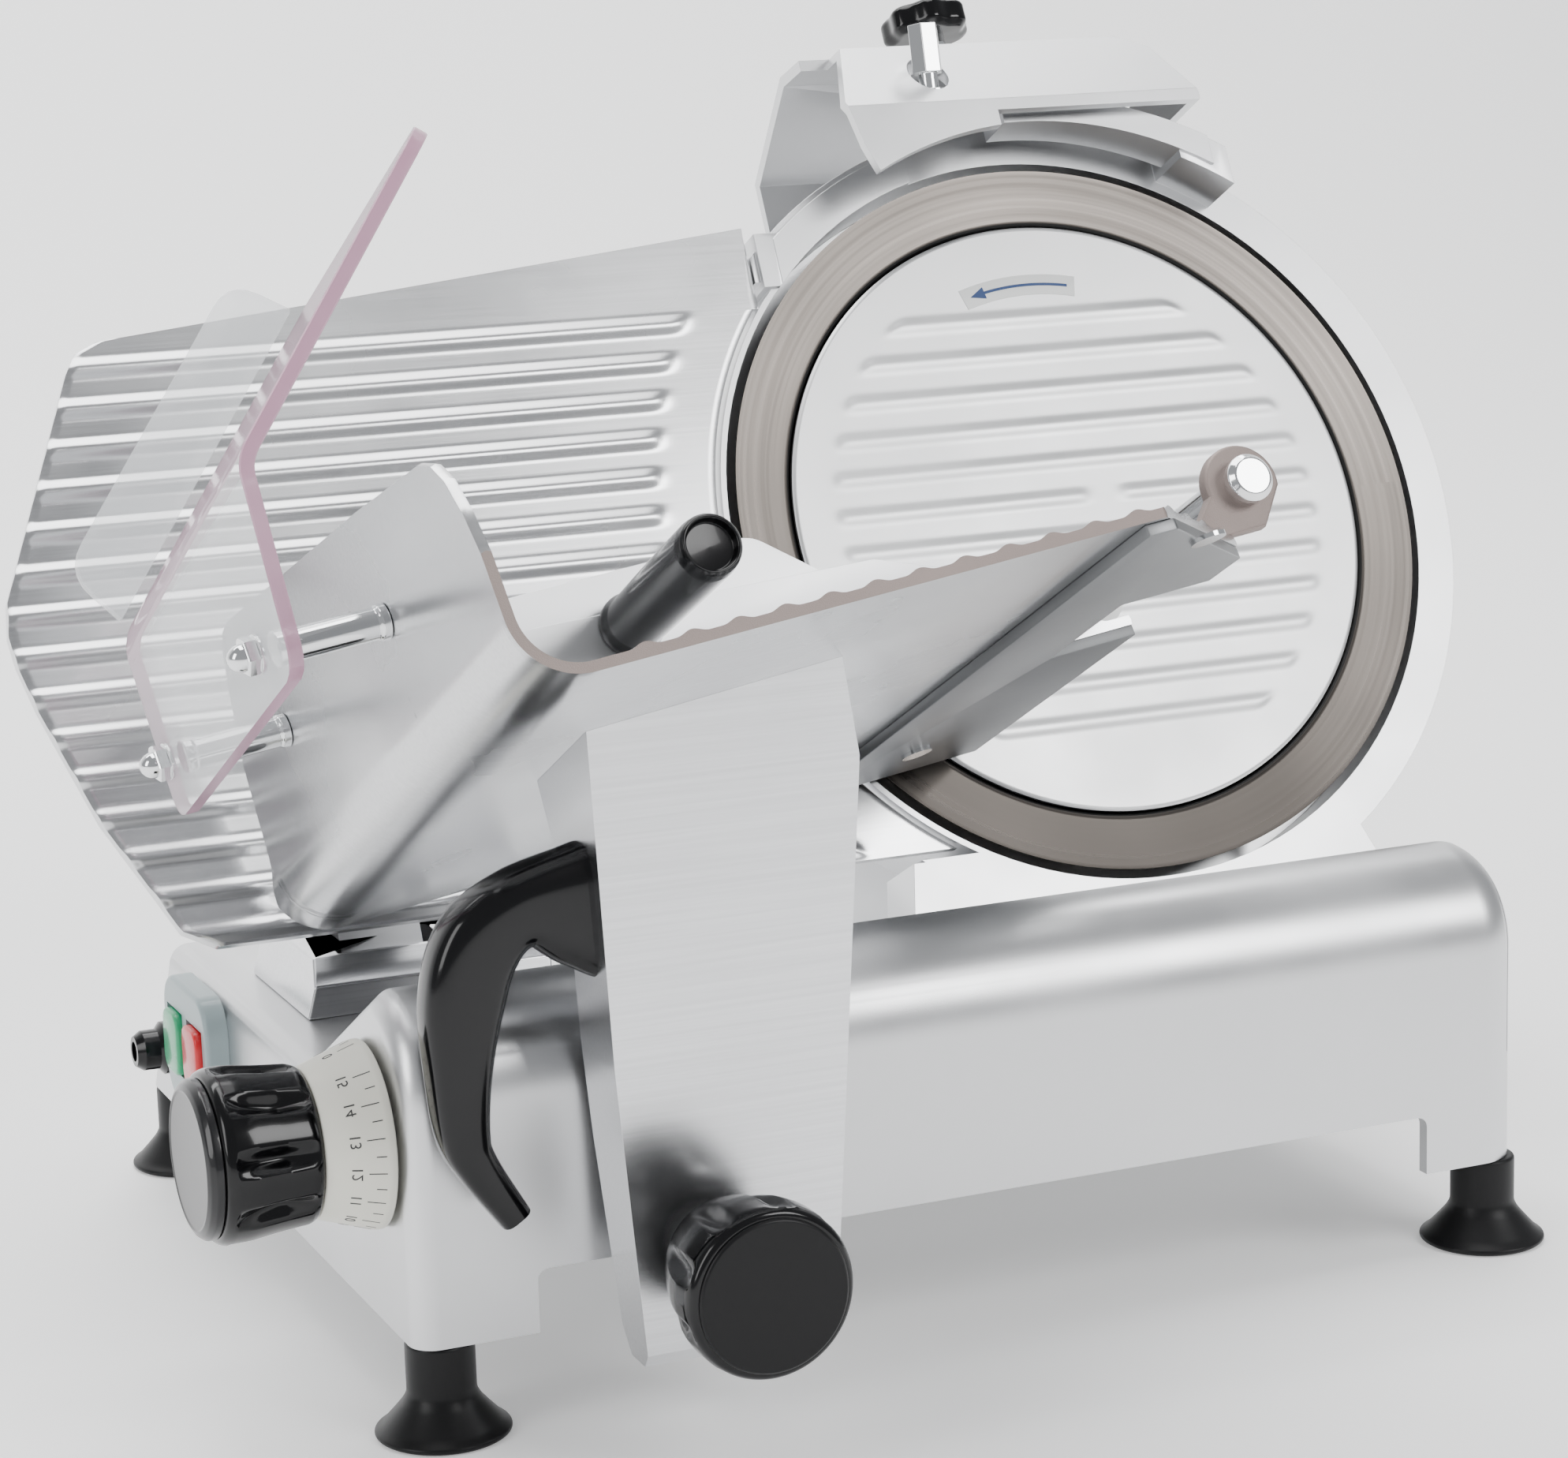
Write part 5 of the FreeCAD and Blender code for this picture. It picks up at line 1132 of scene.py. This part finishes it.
@dataclass
class HandGuard(Assembly):
    """The clear bent guard on two posts, its nuts and its flap."""

    body: str = "carriage"
    q: float = -415.0
    thick: float = 5.0
    bend: float = 14.0
    lower: float = 58.0
    upper: float = 150.0

    def section(self, along: Array, depth: Array) -> Array:
        """The bent sheet: straight up, round a bend of 45 degrees, then straight on, leaning to the right.

        Args:
            along: distance up the sheet.
            depth: distance in from the outer face.

        Returns:
            The points (q, m) as two last columns.
        """
        turn = self.bend * math.pi / 4
        first = np.minimum(along, self.lower)
        angle = np.clip((along - self.lower) / self.bend, 0, math.pi / 4)
        rest = np.clip(along - self.lower - turn, 0, None)
        radius = self.bend + depth
        q = self.q + self.bend - radius * np.cos(angle) + rest * math.sin(math.pi / 4)
        m = -40.0 + first + radius * np.sin(angle) + rest * math.cos(math.pi / 4)
        return np.stack([q, m], axis=-1)

    def build(self) -> None:
        """Build the sheet, the flap, the posts and the nuts."""
        self.build_sheet()
        self.build_fittings()

    def build_sheet(self) -> None:
        """Loops at each distance along the sheet: its two faces between the near and the far edge,
        which draw in at the rounded corners."""
        total = self.lower + self.upper
        along = np.unique(np.concatenate([np.linspace(0, total, 90), np.linspace(0, 10, 10),
                                          np.linspace(total - 22, total, 26)]))
        from_end = np.minimum(along / 9.0, 1.0)
        bottom_in = 9.0 * (1 - np.sqrt(np.clip(1 - (1 - from_end) ** 2, 0, 1)))
        top_part = np.clip((along - (total - 20)) / 20, 0, 1)
        top_in = 20 * (1 - np.sqrt(np.clip(1 - top_part ** 2, 0, 1)))
        near = np.interp(along, [0, self.lower, total], [245, 258, 246]) - bottom_in - top_in
        far = np.interp(along, [0, self.lower, total], [74, 77, 73]) + bottom_in + top_in * 0.3
        depth = np.array([0.5, 0.0, 0.0, 0.5, self.thick - 0.5, self.thick, self.thick, self.thick - 0.5])
        pull = np.array([0.0, 0.5, -0.5, 0.0, 0.0, -0.5, 0.5, 0.0])
        side = np.array([0, 0, 1, 1, 1, 1, 0, 0])
        n = np.where(side[None, :] == 1, near[:, None], far[:, None]) + pull[None, :]
        profile = self.section(np.broadcast_to(along[:, None], n.shape),
                               np.broadcast_to(depth[None, :], n.shape))
        sheet = loft("guard_sheet", np.concatenate([profile, n[..., None]], axis=-1), TRAY, sharp=30)
        self.adopt(sheet, "clear_acrylic", CLEAR_SHEET, "hand_guard")
        self.tint_edges(sheet, len(along), 8)
        angle = math.pi / 4
        seat = TRAY.moved(self.q + 1.5, -40 + self.lower + 12, 73).facing(
            (math.sin(angle), math.cos(angle), 0), (-math.cos(angle), math.sin(angle), 0))
        outline = softened_corners([(0, 5.2), (self.upper - 14, 5.2), (self.upper - 16, 30), (6, 30)],
                                   [1, 2, 13, 13])
        flap = slab("guard_flap", outline, 0, 4.6, seat, 0.4)
        self.adopt(flap, "clear_acrylic", CLEAR_SHEET)

    def tint_edges(self, sheet: Object, rows: int, columns: int) -> None:
        """Give the near and far rims, and both ends, the tint that light takes inside the sheet.

        Args:
            sheet: the guard's sheet.
            rows: loops in its skin.
            columns: points in a loop.
        """
        sheet.data.materials.append(PINK_EDGE.material())
        index = np.zeros(len(sheet.data.polygons), dtype=np.int32)
        column = np.tile(np.arange(columns), rows - 1)
        index[:column.size] = np.isin(column, (2, 3, 4, 6, 7, 0)).astype(np.int32)
        index[column.size:] = 1
        sheet.data.polygons.foreach_set("material_index", index)

    def build_fittings(self) -> None:
        """The posts, each a turned tube with a groove, and the nuts: a hexagon under a dome."""
        posts = []
        nuts = []
        for index, (m, n) in enumerate(((-25, 219), (-21, 86))):
            seat = TRAY.moved(self.q, m, n).facing((0, 1, 0), (0, 0, 1))
            tube = [(0, 0), (6, 0), (6, 3), (5.3, 4), (5.3, 34), (6, 35), (6, 37.8), (0, 37.8)]
            posts.append(turned(f"guard_post_{index}", tube, seat, 0.5, 48))
            outward = seat.moved(0, 0, -self.thick)
            outward = Seat(outward.origin, outward.axes * np.array([[1], [-1], [-1]]))
            washer = [(0, 0), (6.4, 0), (6.4, 1.2), (0, 1.2)]
            nuts.append(turned(f"acorn_nut_{index}", washer, outward, 0.2, 48))
            sides = [(0, 1.2), (6.3, 1.2), (6.5, 1.8), (6.5, 5.0), (6.0, 5.6), (0, 5.6)]
            nuts.append(turned(f"acorn_hexagon_{index}", sides, outward, 0.1, 72, lobes=hexagon_lobes))
            dome = [(4.6 * math.cos(t), 5.4 + 5.2 * math.sin(t)) for t in np.linspace(0, math.pi / 2, 10)]
            nuts.append(turned(f"acorn_dome_{index}", [(0, 5.0)] + dome, outward, 0, 48))
        for index, post in enumerate(posts):
            self.adopt(post, "bright_steel", BRIGHT_STEEL, *(["guard_posts"] if index == 0 else []))
        for index, nut in enumerate(nuts):
            self.adopt(nut, "bright_steel", BRIGHT_STEEL, *(["acorn_nuts"] if index == 0 else []))


def hexagon_lobes(angle: Array, height: Array) -> Array:
    """The factor on the radius that makes a hexagon: a constant over the cosine within each sixth."""
    return 0.86 / np.cos((angle % (math.pi / 3)) - math.pi / 6) + 0 * height


def knob_flutes(count: int, depth: float, low: float, high: float) -> Callable[[Array, Array], Array]:
    """Hollows round a knob: the radius is cut by depth times a raised cosine in angle and in height.

    Args:
        count: how many hollows there are.
        depth: the deepest cut, as a part of the radius.
        low: height where the hollows start.
        high: height where they end.

    Returns:
        The factor on the radius, from the angle and the height.
    """
    def factor(angle: Array, height: Array) -> Array:
        """One minus the depth of the hollow at this angle and height."""
        part = np.clip((height - low) / (high - low), 0, 1)
        hollow = np.clip(np.cos(count * angle), 0, 1) ** 1.4
        return 1 - depth * hollow * np.sin(math.pi * part) ** 0.8
    return factor


@dataclass
class Dial(Assembly):
    """The thickness dial: a conical scale with marks and numbers, a fluted knob and its cap."""

    body: str = "dial"
    scale_low: float = 31.9
    scale_high: float = 25.2
    scale_start: float = 4.0
    scale_end: float = 24.0
    knob: float = 29.4
    knob_long: float = 34.0

    def build(self) -> None:
        """Build the scale, its marks and numbers, the knob and the cap."""
        centre, axis = joint_place("dial_turn")
        seat = Seat(centre, np.stack([np.array([0.0, 0.0, 1.0]), np.cross(axis, [0.0, 0.0, 1.0]), axis]))
        cone = [(0, 1.6), (self.scale_low, 1.6), (self.scale_low, self.scale_start),
                (self.scale_high, self.scale_end), (0, self.scale_end)]
        scale = turned("dial_scale_cone", cone, seat, 0.8, 160)
        self.adopt(scale, "cream_plastic", CREAM_PLASTIC, "dial_scale")
        self.build_marks(seat)
        grip = seat.moved(0, 0, self.scale_end)
        profile = [(0, 0.1), (25.5, 0.1), (27.0, 3.0), (28.0, 14.0), (self.knob, 24.0), (self.knob, 31.0),
                   (27.9, self.knob_long - 0.1), (0, self.knob_long - 0.1)]
        knob = turned("dial_grip", profile, grip, 2.2, 240, knob_flutes(9, 0.16, 1.5, 30.5))
        self.adopt(knob, "black_plastic", BLACK_PLASTIC, "dial_knob")
        disc = [(0, 34.0), (26.8, 34.0), (26.8, 36.6), (25.4, 38.4), (23.4, 39.4), (22.6, 39.0), (0, 39.0)]
        cap = turned("dial_cap_disc", disc, grip, 0.5, 128)
        self.adopt(cap, "grey_plastic", CAP_PLASTIC, "dial_cap")

    def on_cone(self, seat: Seat, flat: Array, angle: float, lift: float) -> Array:
        """Wrap flat points on the scale: x goes round it, y along its slope from the knob's side.

        Args:
            seat: the dial's frame.
            flat: points (x, y, z), z being the height over the surface.
            angle: where on the scale x = 0 is.
            lift: extra height over the surface.

        Returns:
            Points in the dial's frame.
        """
        slope = np.array([self.scale_low - self.scale_high, self.scale_start - self.scale_end])
        length = np.linalg.norm(slope)
        slope = slope / length
        normal = np.array([-slope[1], slope[0]])
        radius = self.scale_high + slope[0] * flat[:, 1] + normal[0] * (flat[:, 2] + lift)
        height = self.scale_end + slope[1] * flat[:, 1] + normal[1] * (flat[:, 2] + lift)
        turn = angle + flat[:, 0] / radius
        return np.stack([radius * np.cos(turn), radius * np.sin(turn), height], axis=1)

    def build_marks(self, seat: Seat) -> None:
        """A short line for each half step and a longer one with its number for each whole step.

        Args:
            seat: the dial's frame.
        """
        base = ((-0.5, 0), (0.5, 0), (0.5, 1), (-0.5, 1))
        box = np.array([(x, y, z) for z in (-0.1, 0.08) for x, y in base])
        faces = np.array([(0, 3, 2, 1), (4, 5, 6, 7), (0, 1, 5, 4), (1, 2, 6, 5), (2, 3, 7, 6), (3, 0, 4, 7)])
        points, polygons = [], []
        for step in range(31):
            long = step % 2 == 0
            size = np.array([0.35, 6.0 if long else 3.4, 1.0])
            flat = box * size + np.array([0, 13.8 if long else 16.4, 0])
            points.append(self.on_cone(seat, flat, 2 * math.pi * step / 33, 0.0))
            polygons.append(faces + 8 * step)
        mesh = bpy.data.meshes.new("dial_marks")
        mesh.from_pydata(seat.place(np.concatenate(points)).tolist(), [], np.concatenate(polygons).tolist())
        self.adopt(finished_mesh("dial_marks", mesh), "cream_plastic", INK)
        self.build_numbers(seat)

    def build_numbers(self, seat: Seat) -> None:
        """The numbers, each a text made a flat mesh, given thickness and wrapped on the cone.

        Args:
            seat: the dial's frame.
        """
        points, polygons, offset = [], [], 0
        for step in range(16):
            curve = bpy.data.curves.new(f"number_{step}", "FONT")
            curve.body = str(step)
            curve.size = 5.2
            curve.align_x = "CENTER"
            curve.extrude = 0.09
            holder = bpy.data.objects.new(f"number_{step}", curve)
            mesh = bpy.data.meshes.new_from_object(holder)
            flat = np.empty(len(mesh.vertices) * 3)
            mesh.vertices.foreach_get("co", flat)
            flat = flat.reshape(-1, 3)
            turned_flat = np.stack([-flat[:, 0], 11.8 - flat[:, 1], flat[:, 2]], axis=1)
            points.append(self.on_cone(seat, turned_flat, 2 * math.pi * (2 * step) / 33, 0.0))
            polygons += [[offset + index for index in face.vertices] for face in mesh.polygons]
            offset += len(mesh.vertices)
            bpy.data.objects.remove(holder)
            bpy.data.curves.remove(curve)
            bpy.data.meshes.remove(mesh)
        mesh = bpy.data.meshes.new("dial_numbers")
        mesh.from_pydata(seat.place(np.concatenate(points)).tolist(), [], polygons)
        self.adopt(finished_mesh("dial_numbers", mesh), "cream_plastic", INK)


@dataclass
class LockKnob(Assembly):
    """The fluted knob that locks the tray, with its dark cap."""

    body: str = "lock"
    radius: float = 28.9
    neck: float = 8.0

    def build(self) -> None:
        """Build the grip and its cap from the joint's place and axis."""
        centre, axis = joint_place("tray_lock_turn")
        seat = Seat(centre, np.stack([np.array([1.0, 0.0, 0.0]), np.cross(axis, [1.0, 0.0, 0.0]), axis]))
        profile = [(0, 8.1), (17.5, 8.1), (21, 12), (24.5, 22), (27.5, 32), (self.radius, 40),
                   (self.radius, 49), (27.4, 52.4), (0, 52.4)]
        grip = turned("lock_grip", profile, seat, 2.2, 240, knob_flutes(9, 0.15, 16, 50))
        self.adopt(grip, "black_plastic", BLACK_PLASTIC, "lock_knob")
        disc = [(0, 52.0), (25.6, 52.0), (25.6, 53.2), (24.8, 53.9), (0, 53.9)]
        cap = turned("lock_cap_disc", disc, seat, 0.4, 128)
        self.adopt(cap, "black_plastic", DARK_CAP)


@dataclass
class Handle(Assembly):
    """The hooked grip beside the arm, swept from its root down to its bent tip."""

    body: str = "carriage"
    depth: float = -249.0

    def build(self) -> None:
        """One sweep: the broad bow from the arm, then the long lever with its bent-back tip."""
        path = flowing([(-303, self.depth, -70), (-318, self.depth, -67), (-336, self.depth, -66),
                        (-350, self.depth, -76), (-356.5, self.depth, -95), (-358.5, self.depth, -118),
                        (-358, self.depth, -138), (-354, self.depth, -149), (-342, self.depth, -168)], 90)
        half = flowing([(24, 11), (20, 11), (13, 11), (14, 11), (13.5, 10.5), (10.5, 9.5), (8.5, 8.5),
                        (7.0, 8), (5.5, 7.5)], 90)
        grip = swept("handle_grip", path, half, MACHINE, (0, 1, 0), 3.2, 48)
        self.adopt(grip, "black_plastic", BLACK_PLASTIC, "carriage_handle")


@dataclass
class Pusher(Assembly):
    """The meat pusher's black grip."""

    body: str = "pusher"
    q: float = -250.0
    m: float = -21.0
    start: float = 104.1

    def build(self) -> None:
        """The grip is turned: a collar, a long barrel and a rim round its recessed end."""
        seat = TRAY.moved(self.q, self.m, self.start)
        profile = [(0, 0), (11.9, 0), (11.9, 3), (10.8, 7), (11.2, 30), (11.6, 60), (11.7, 84),
                   (11.2, 88.5), (10.2, 89.8), (9.2, 89.4), (8.8, 86.0), (0, 85.6)]
        grip = turned("pusher_grip", profile, seat, 0.8, 96)
        self.adopt(grip, "black_plastic", BLACK_PLASTIC, "pusher_handle")


@dataclass
class Feet(Assembly):
    """The four suction feet."""

    def build(self) -> None:
        """Each foot is a turned cup with a flared lip under a straight stem."""
        low, high = (np.array(corner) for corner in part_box("rubber_feet"))
        radius = 23.0
        reach = radius * MM
        for row, y in enumerate((low[1] + reach, high[1] - reach)):
            for column, x in enumerate((low[0] + reach, high[0] - reach)):
                seat = Seat(np.array([x, y, 0.0]), np.eye(3))
                profile = [(9, 4.5), (18, 0.0), (radius - 1.5, 0.0), (radius, 1.0), (radius, 2.2),
                           (radius - 2.5, 4.0), (16.5, 8.4), (13.4, 12.0), (11.8, 15.0), (11.8, 32.9),
                           (3.3, 32.9), (3.3, 7.0), (9, 7.0)]
                foot = ring_solid(f"foot_{row}{column}", profile, seat, 1.4, 96)
                self.adopt(foot, "black_rubber", BLACK_RUBBER,
                           *(["rubber_feet"] if row + column == 0 else []))


@dataclass
class SwitchPair(Assembly):
    """The start and stop buttons with domed faces, in their frame."""

    def build(self) -> None:
        """Each button is an outlined plate with a wide round edge."""
        for node, finish, body, slot in (("start_button", GREEN_PLASTIC, "start", "green_plastic"),
                                         ("stop_button", RED_PLASTIC, "stop", "red_plastic")):
            low, high = (np.array(corner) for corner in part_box(node))
            middle = (low + high) / 2
            half_y, half_z = (high - low)[1:] / 2 / MM - 0.1
            seat = Seat(np.array([high[0], middle[1], middle[2]]),
                        np.array([[0, -1.0, 0], [0, 0, 1.0], [-1.0, 0, 0]]))
            outline = softened_corners([(-half_y, -half_z), (half_y, -half_z), (half_y, half_z),
                                        (-half_y, half_z)], 7)
            deep = (high - low)[0] / MM
            button = slab(node + "_cap", outline, 0.0, deep, seat, 1.3)
            self.adopt(button, slot, finish, node, body=body)
        frame_piece = softened_casting("switch_housing", "switch_frame", 1.2)
        self.adopt(frame_piece, "black_plastic", SWITCH_PLASTIC, "switch_housing")


@dataclass
class Sharpener(Assembly):
    """The sharpener's clamp knob; its hood and pins are softened castings."""

    body: str = "sharpener"

    def build(self) -> None:
        """Build the lobed knob from the joint's place and axis."""
        centre, axis = joint_place("sharpener_clamp_turn")
        seat = Seat(centre, np.stack([np.array([1.0, 0.0, 0.0]), np.cross(axis, [1.0, 0.0, 0.0]), axis]))
        low, high, wide = -5.95, 6.95, 18.9
        profile = [(0, low), (wide - 3, low), (wide, low + 2.5), (wide, high - 2.5), (wide - 2.5, high - 0.4),
                   (11.0, high), (10.2, high - 0.8), (0, high - 0.8)]
        knob = turned("clamp_knob", profile, seat, 1.4, 144, self.lobes)
        self.adopt(knob, "black_plastic", BLACK_PLASTIC, "sharpener_knob", body="sharpener_clamp")

    @staticmethod
    def lobes(angle: Array, height: Array) -> Array:
        """Seven round lobes: the radius dips by a tenth between them."""
        return 0.945 + 0.055 * np.cos(7 * angle) + 0 * height


@dataclass
class Castings(Assembly):
    """The cast and machined nodes, each with its edges rounded as a real casting's are."""

    rounding: dict[str, tuple[float, str, str]] = field(default_factory=lambda: {
        "base_housing": (2.2, "machine_frame", "satin_cast"),
        "blade_housing": (1.6, "machine_frame", "satin_cast"),
        "motor_cover": (2.0, "machine_frame", "satin_cast"),
        "gauge_rail": (1.2, "machine_frame", "satin_cast"),
        "carriage_arm": (1.2, "carriage", "polished_cast"),
        "sharpener_cover": (1.8, "sharpener", "satin_cast"),
        "pusher_arm": (1.5, "pusher", "satin_cast"),
        "pusher_plate": (0.8, "pusher", "satin_cast"),
        "gauge_bracket": (1.2, "gauge", "satin_cast"),
        "slide_block": (1.2, "carriage", "satin_cast"),
        "sharpening_pin": (0.5, "grind_pin", "bright_steel"),
        "honing_pin": (0.5, "hone_pin", "bright_steel"),
        "rod_end_bolt": (0.5, "carriage", "bright_steel"),
    })

    def build(self) -> None:
        """Round each casting and put it in its node's place."""
        for node, (width, body, slot) in self.rounding.items():
            piece = softened_casting(node, node + "_casting", width)
            self.adopt(piece, slot, NODE_FINISHES[node], node, body=body)


def dress_nodes() -> None:
    """Give every CAD node its finish in place of the plain one that it came with."""
    for name, node in frame["nodes"].items():
        material = NODE_FINISHES[name].material()
        for slot in node.material_slots:
            slot.material = material
        if not node.material_slots:
            node.data.materials.append(material)


# ---- studio ---------------------------------------------------------------------------------------------

@dataclass(frozen=True)
class Studio:
    """The camera, the lights and the floor.

    Attributes:
        eye: the camera's place from the blade's centre, in millimetres.
        azimuth: how far round from straight ahead the camera stands, in degrees.
        elevation: how far it looks down, in degrees.
        roll: its roll, in degrees.
        lens: its focal length on a 36 mm sensor.
    """

    eye: tuple[float, float, float] = (-729.4, -1392.6, 244.6)
    azimuth: float = -23.10
    elevation: float = 11.93
    roll: float = -1.72
    lens: float = 89.53

    def build(self) -> None:
        """Make the floor, the sky, the lights and the camera."""
        self.build_floor()
        self.build_sky()
        self.build_lights()
        self.build_camera()

    def build_floor(self) -> None:
        """A pale floor that sweeps up into a backdrop: flat, then a quarter circle, then upright."""
        half, front, back, bend, height = 6.0, -5.0, 1.4, 1.6, 6.0
        turn = np.linspace(0, math.pi / 2, 24)
        y = np.concatenate([[front], back + bend * np.sin(turn), [back + bend]])
        z = np.concatenate([[0.0], bend * (1 - np.cos(turn)), [height]])
        left = np.stack([np.full_like(y, -half), y, z], axis=1)
        right = left * np.array([-1, 1, 1])
        count = len(y)
        row = np.arange(count - 1)
        faces = np.stack([row, row + count, row + count + 1, row + 1], axis=1)
        mesh = bpy.data.meshes.new("floor")
        mesh.from_pydata(np.concatenate([left, right]).tolist(), [], faces.tolist())
        floor = finished_mesh("floor", mesh, 80)
        paper = Bench("floor_paper")
        paper.set(Base_Color=(0.9, 0.9, 0.9, 1), Roughness=0.8, Emission_Color=(1, 1, 1, 1),
                  Emission_Strength=0.32)
        floor.data.materials.append(paper.material)

    def build_sky(self) -> None:
        """A dim even world, so that the soft lights stand out in the metal."""
        world = bpy.data.worlds.new("studio_sky")
        world.use_nodes = True
        background = world.node_tree.nodes["Background"]
        background.inputs["Color"].default_value = (0.95, 0.97, 1.0, 1)
        background.inputs["Strength"].default_value = 0.42
        bpy.context.scene.world = world

    def build_lights(self) -> None:
        """Large soft lights; each aims at the machine's middle."""
        lamps = (("key", (1.5, -2.3, 1.9), 1.5, 1.1, 52.0), ("side", (-2.6, -0.9, 1.3), 0.9, 1.8, 30.0),
                 ("top", (0.0, 0.2, 2.4), 1.5, 1.5, 42.0), ("backdrop", (0.0, 1.6, 2.9), 4.0, 0.8, 90.0))
        for name, place, width, depth, power in lamps:
            lamp = bpy.data.lights.new(name, "AREA")
            lamp.shape = "RECTANGLE"
            lamp.size = width
            lamp.size_y = depth
            lamp.energy = power
            holder = bpy.data.objects.new(name, lamp)
            holder.location = place
            target = Vector((0, 2.6, 0.9)) if name == "backdrop" else Vector((0, 0, 0.2))
            holder.rotation_euler = (target - Vector(place)).to_track_quat("-Z", "Y").to_euler()
            bpy.context.scene.collection.objects.link(holder)

    def build_camera(self) -> None:
        """The camera's axes come from its azimuth, elevation and roll."""
        around, above, roll = (math.radians(value) for value in (self.azimuth, self.elevation, self.roll))
        back = Vector((math.sin(around) * math.cos(above), -math.cos(around) * math.cos(above),
                       math.sin(above)))
        level = Vector((math.cos(around), math.sin(around), 0))
        steep = back.cross(level)
        right = math.cos(roll) * level + math.sin(roll) * steep
        up = math.cos(roll) * steep - math.sin(roll) * level
        turn = Matrix((right, up, back)).transposed().to_4x4()
        lens = bpy.data.cameras.new("camera")
        lens.lens = self.lens
        lens.sensor_width = 36.0
        lens.sensor_fit = "HORIZONTAL"
        lens.clip_start = 0.05
        camera = bpy.data.objects.new("camera", lens)
        place = BLADE.place(np.array(self.eye) @ BLADE.axes.T)
        camera.matrix_world = Matrix.Translation(Vector(place)) @ turn
        bpy.context.scene.collection.objects.link(camera)
        bpy.context.scene.camera = camera


def main() -> None:
    """Dress the nodes, build each sub-assembly in order, then the studio."""
    logging.basicConfig(level=logging.INFO, format="%(message)s")
    dress_nodes()
    for part in (Castings(), Feet(), BladeUnit(), GaugePlate(), FoodTray(), HandGuard(), Pusher(), Handle(),
                 Dial(), LockKnob(), SwitchPair(), Sharpener()):
        LOG.info("building %s", type(part).__name__)
        part.build()
    Studio().build()


if __name__ == "__main__":
    main()
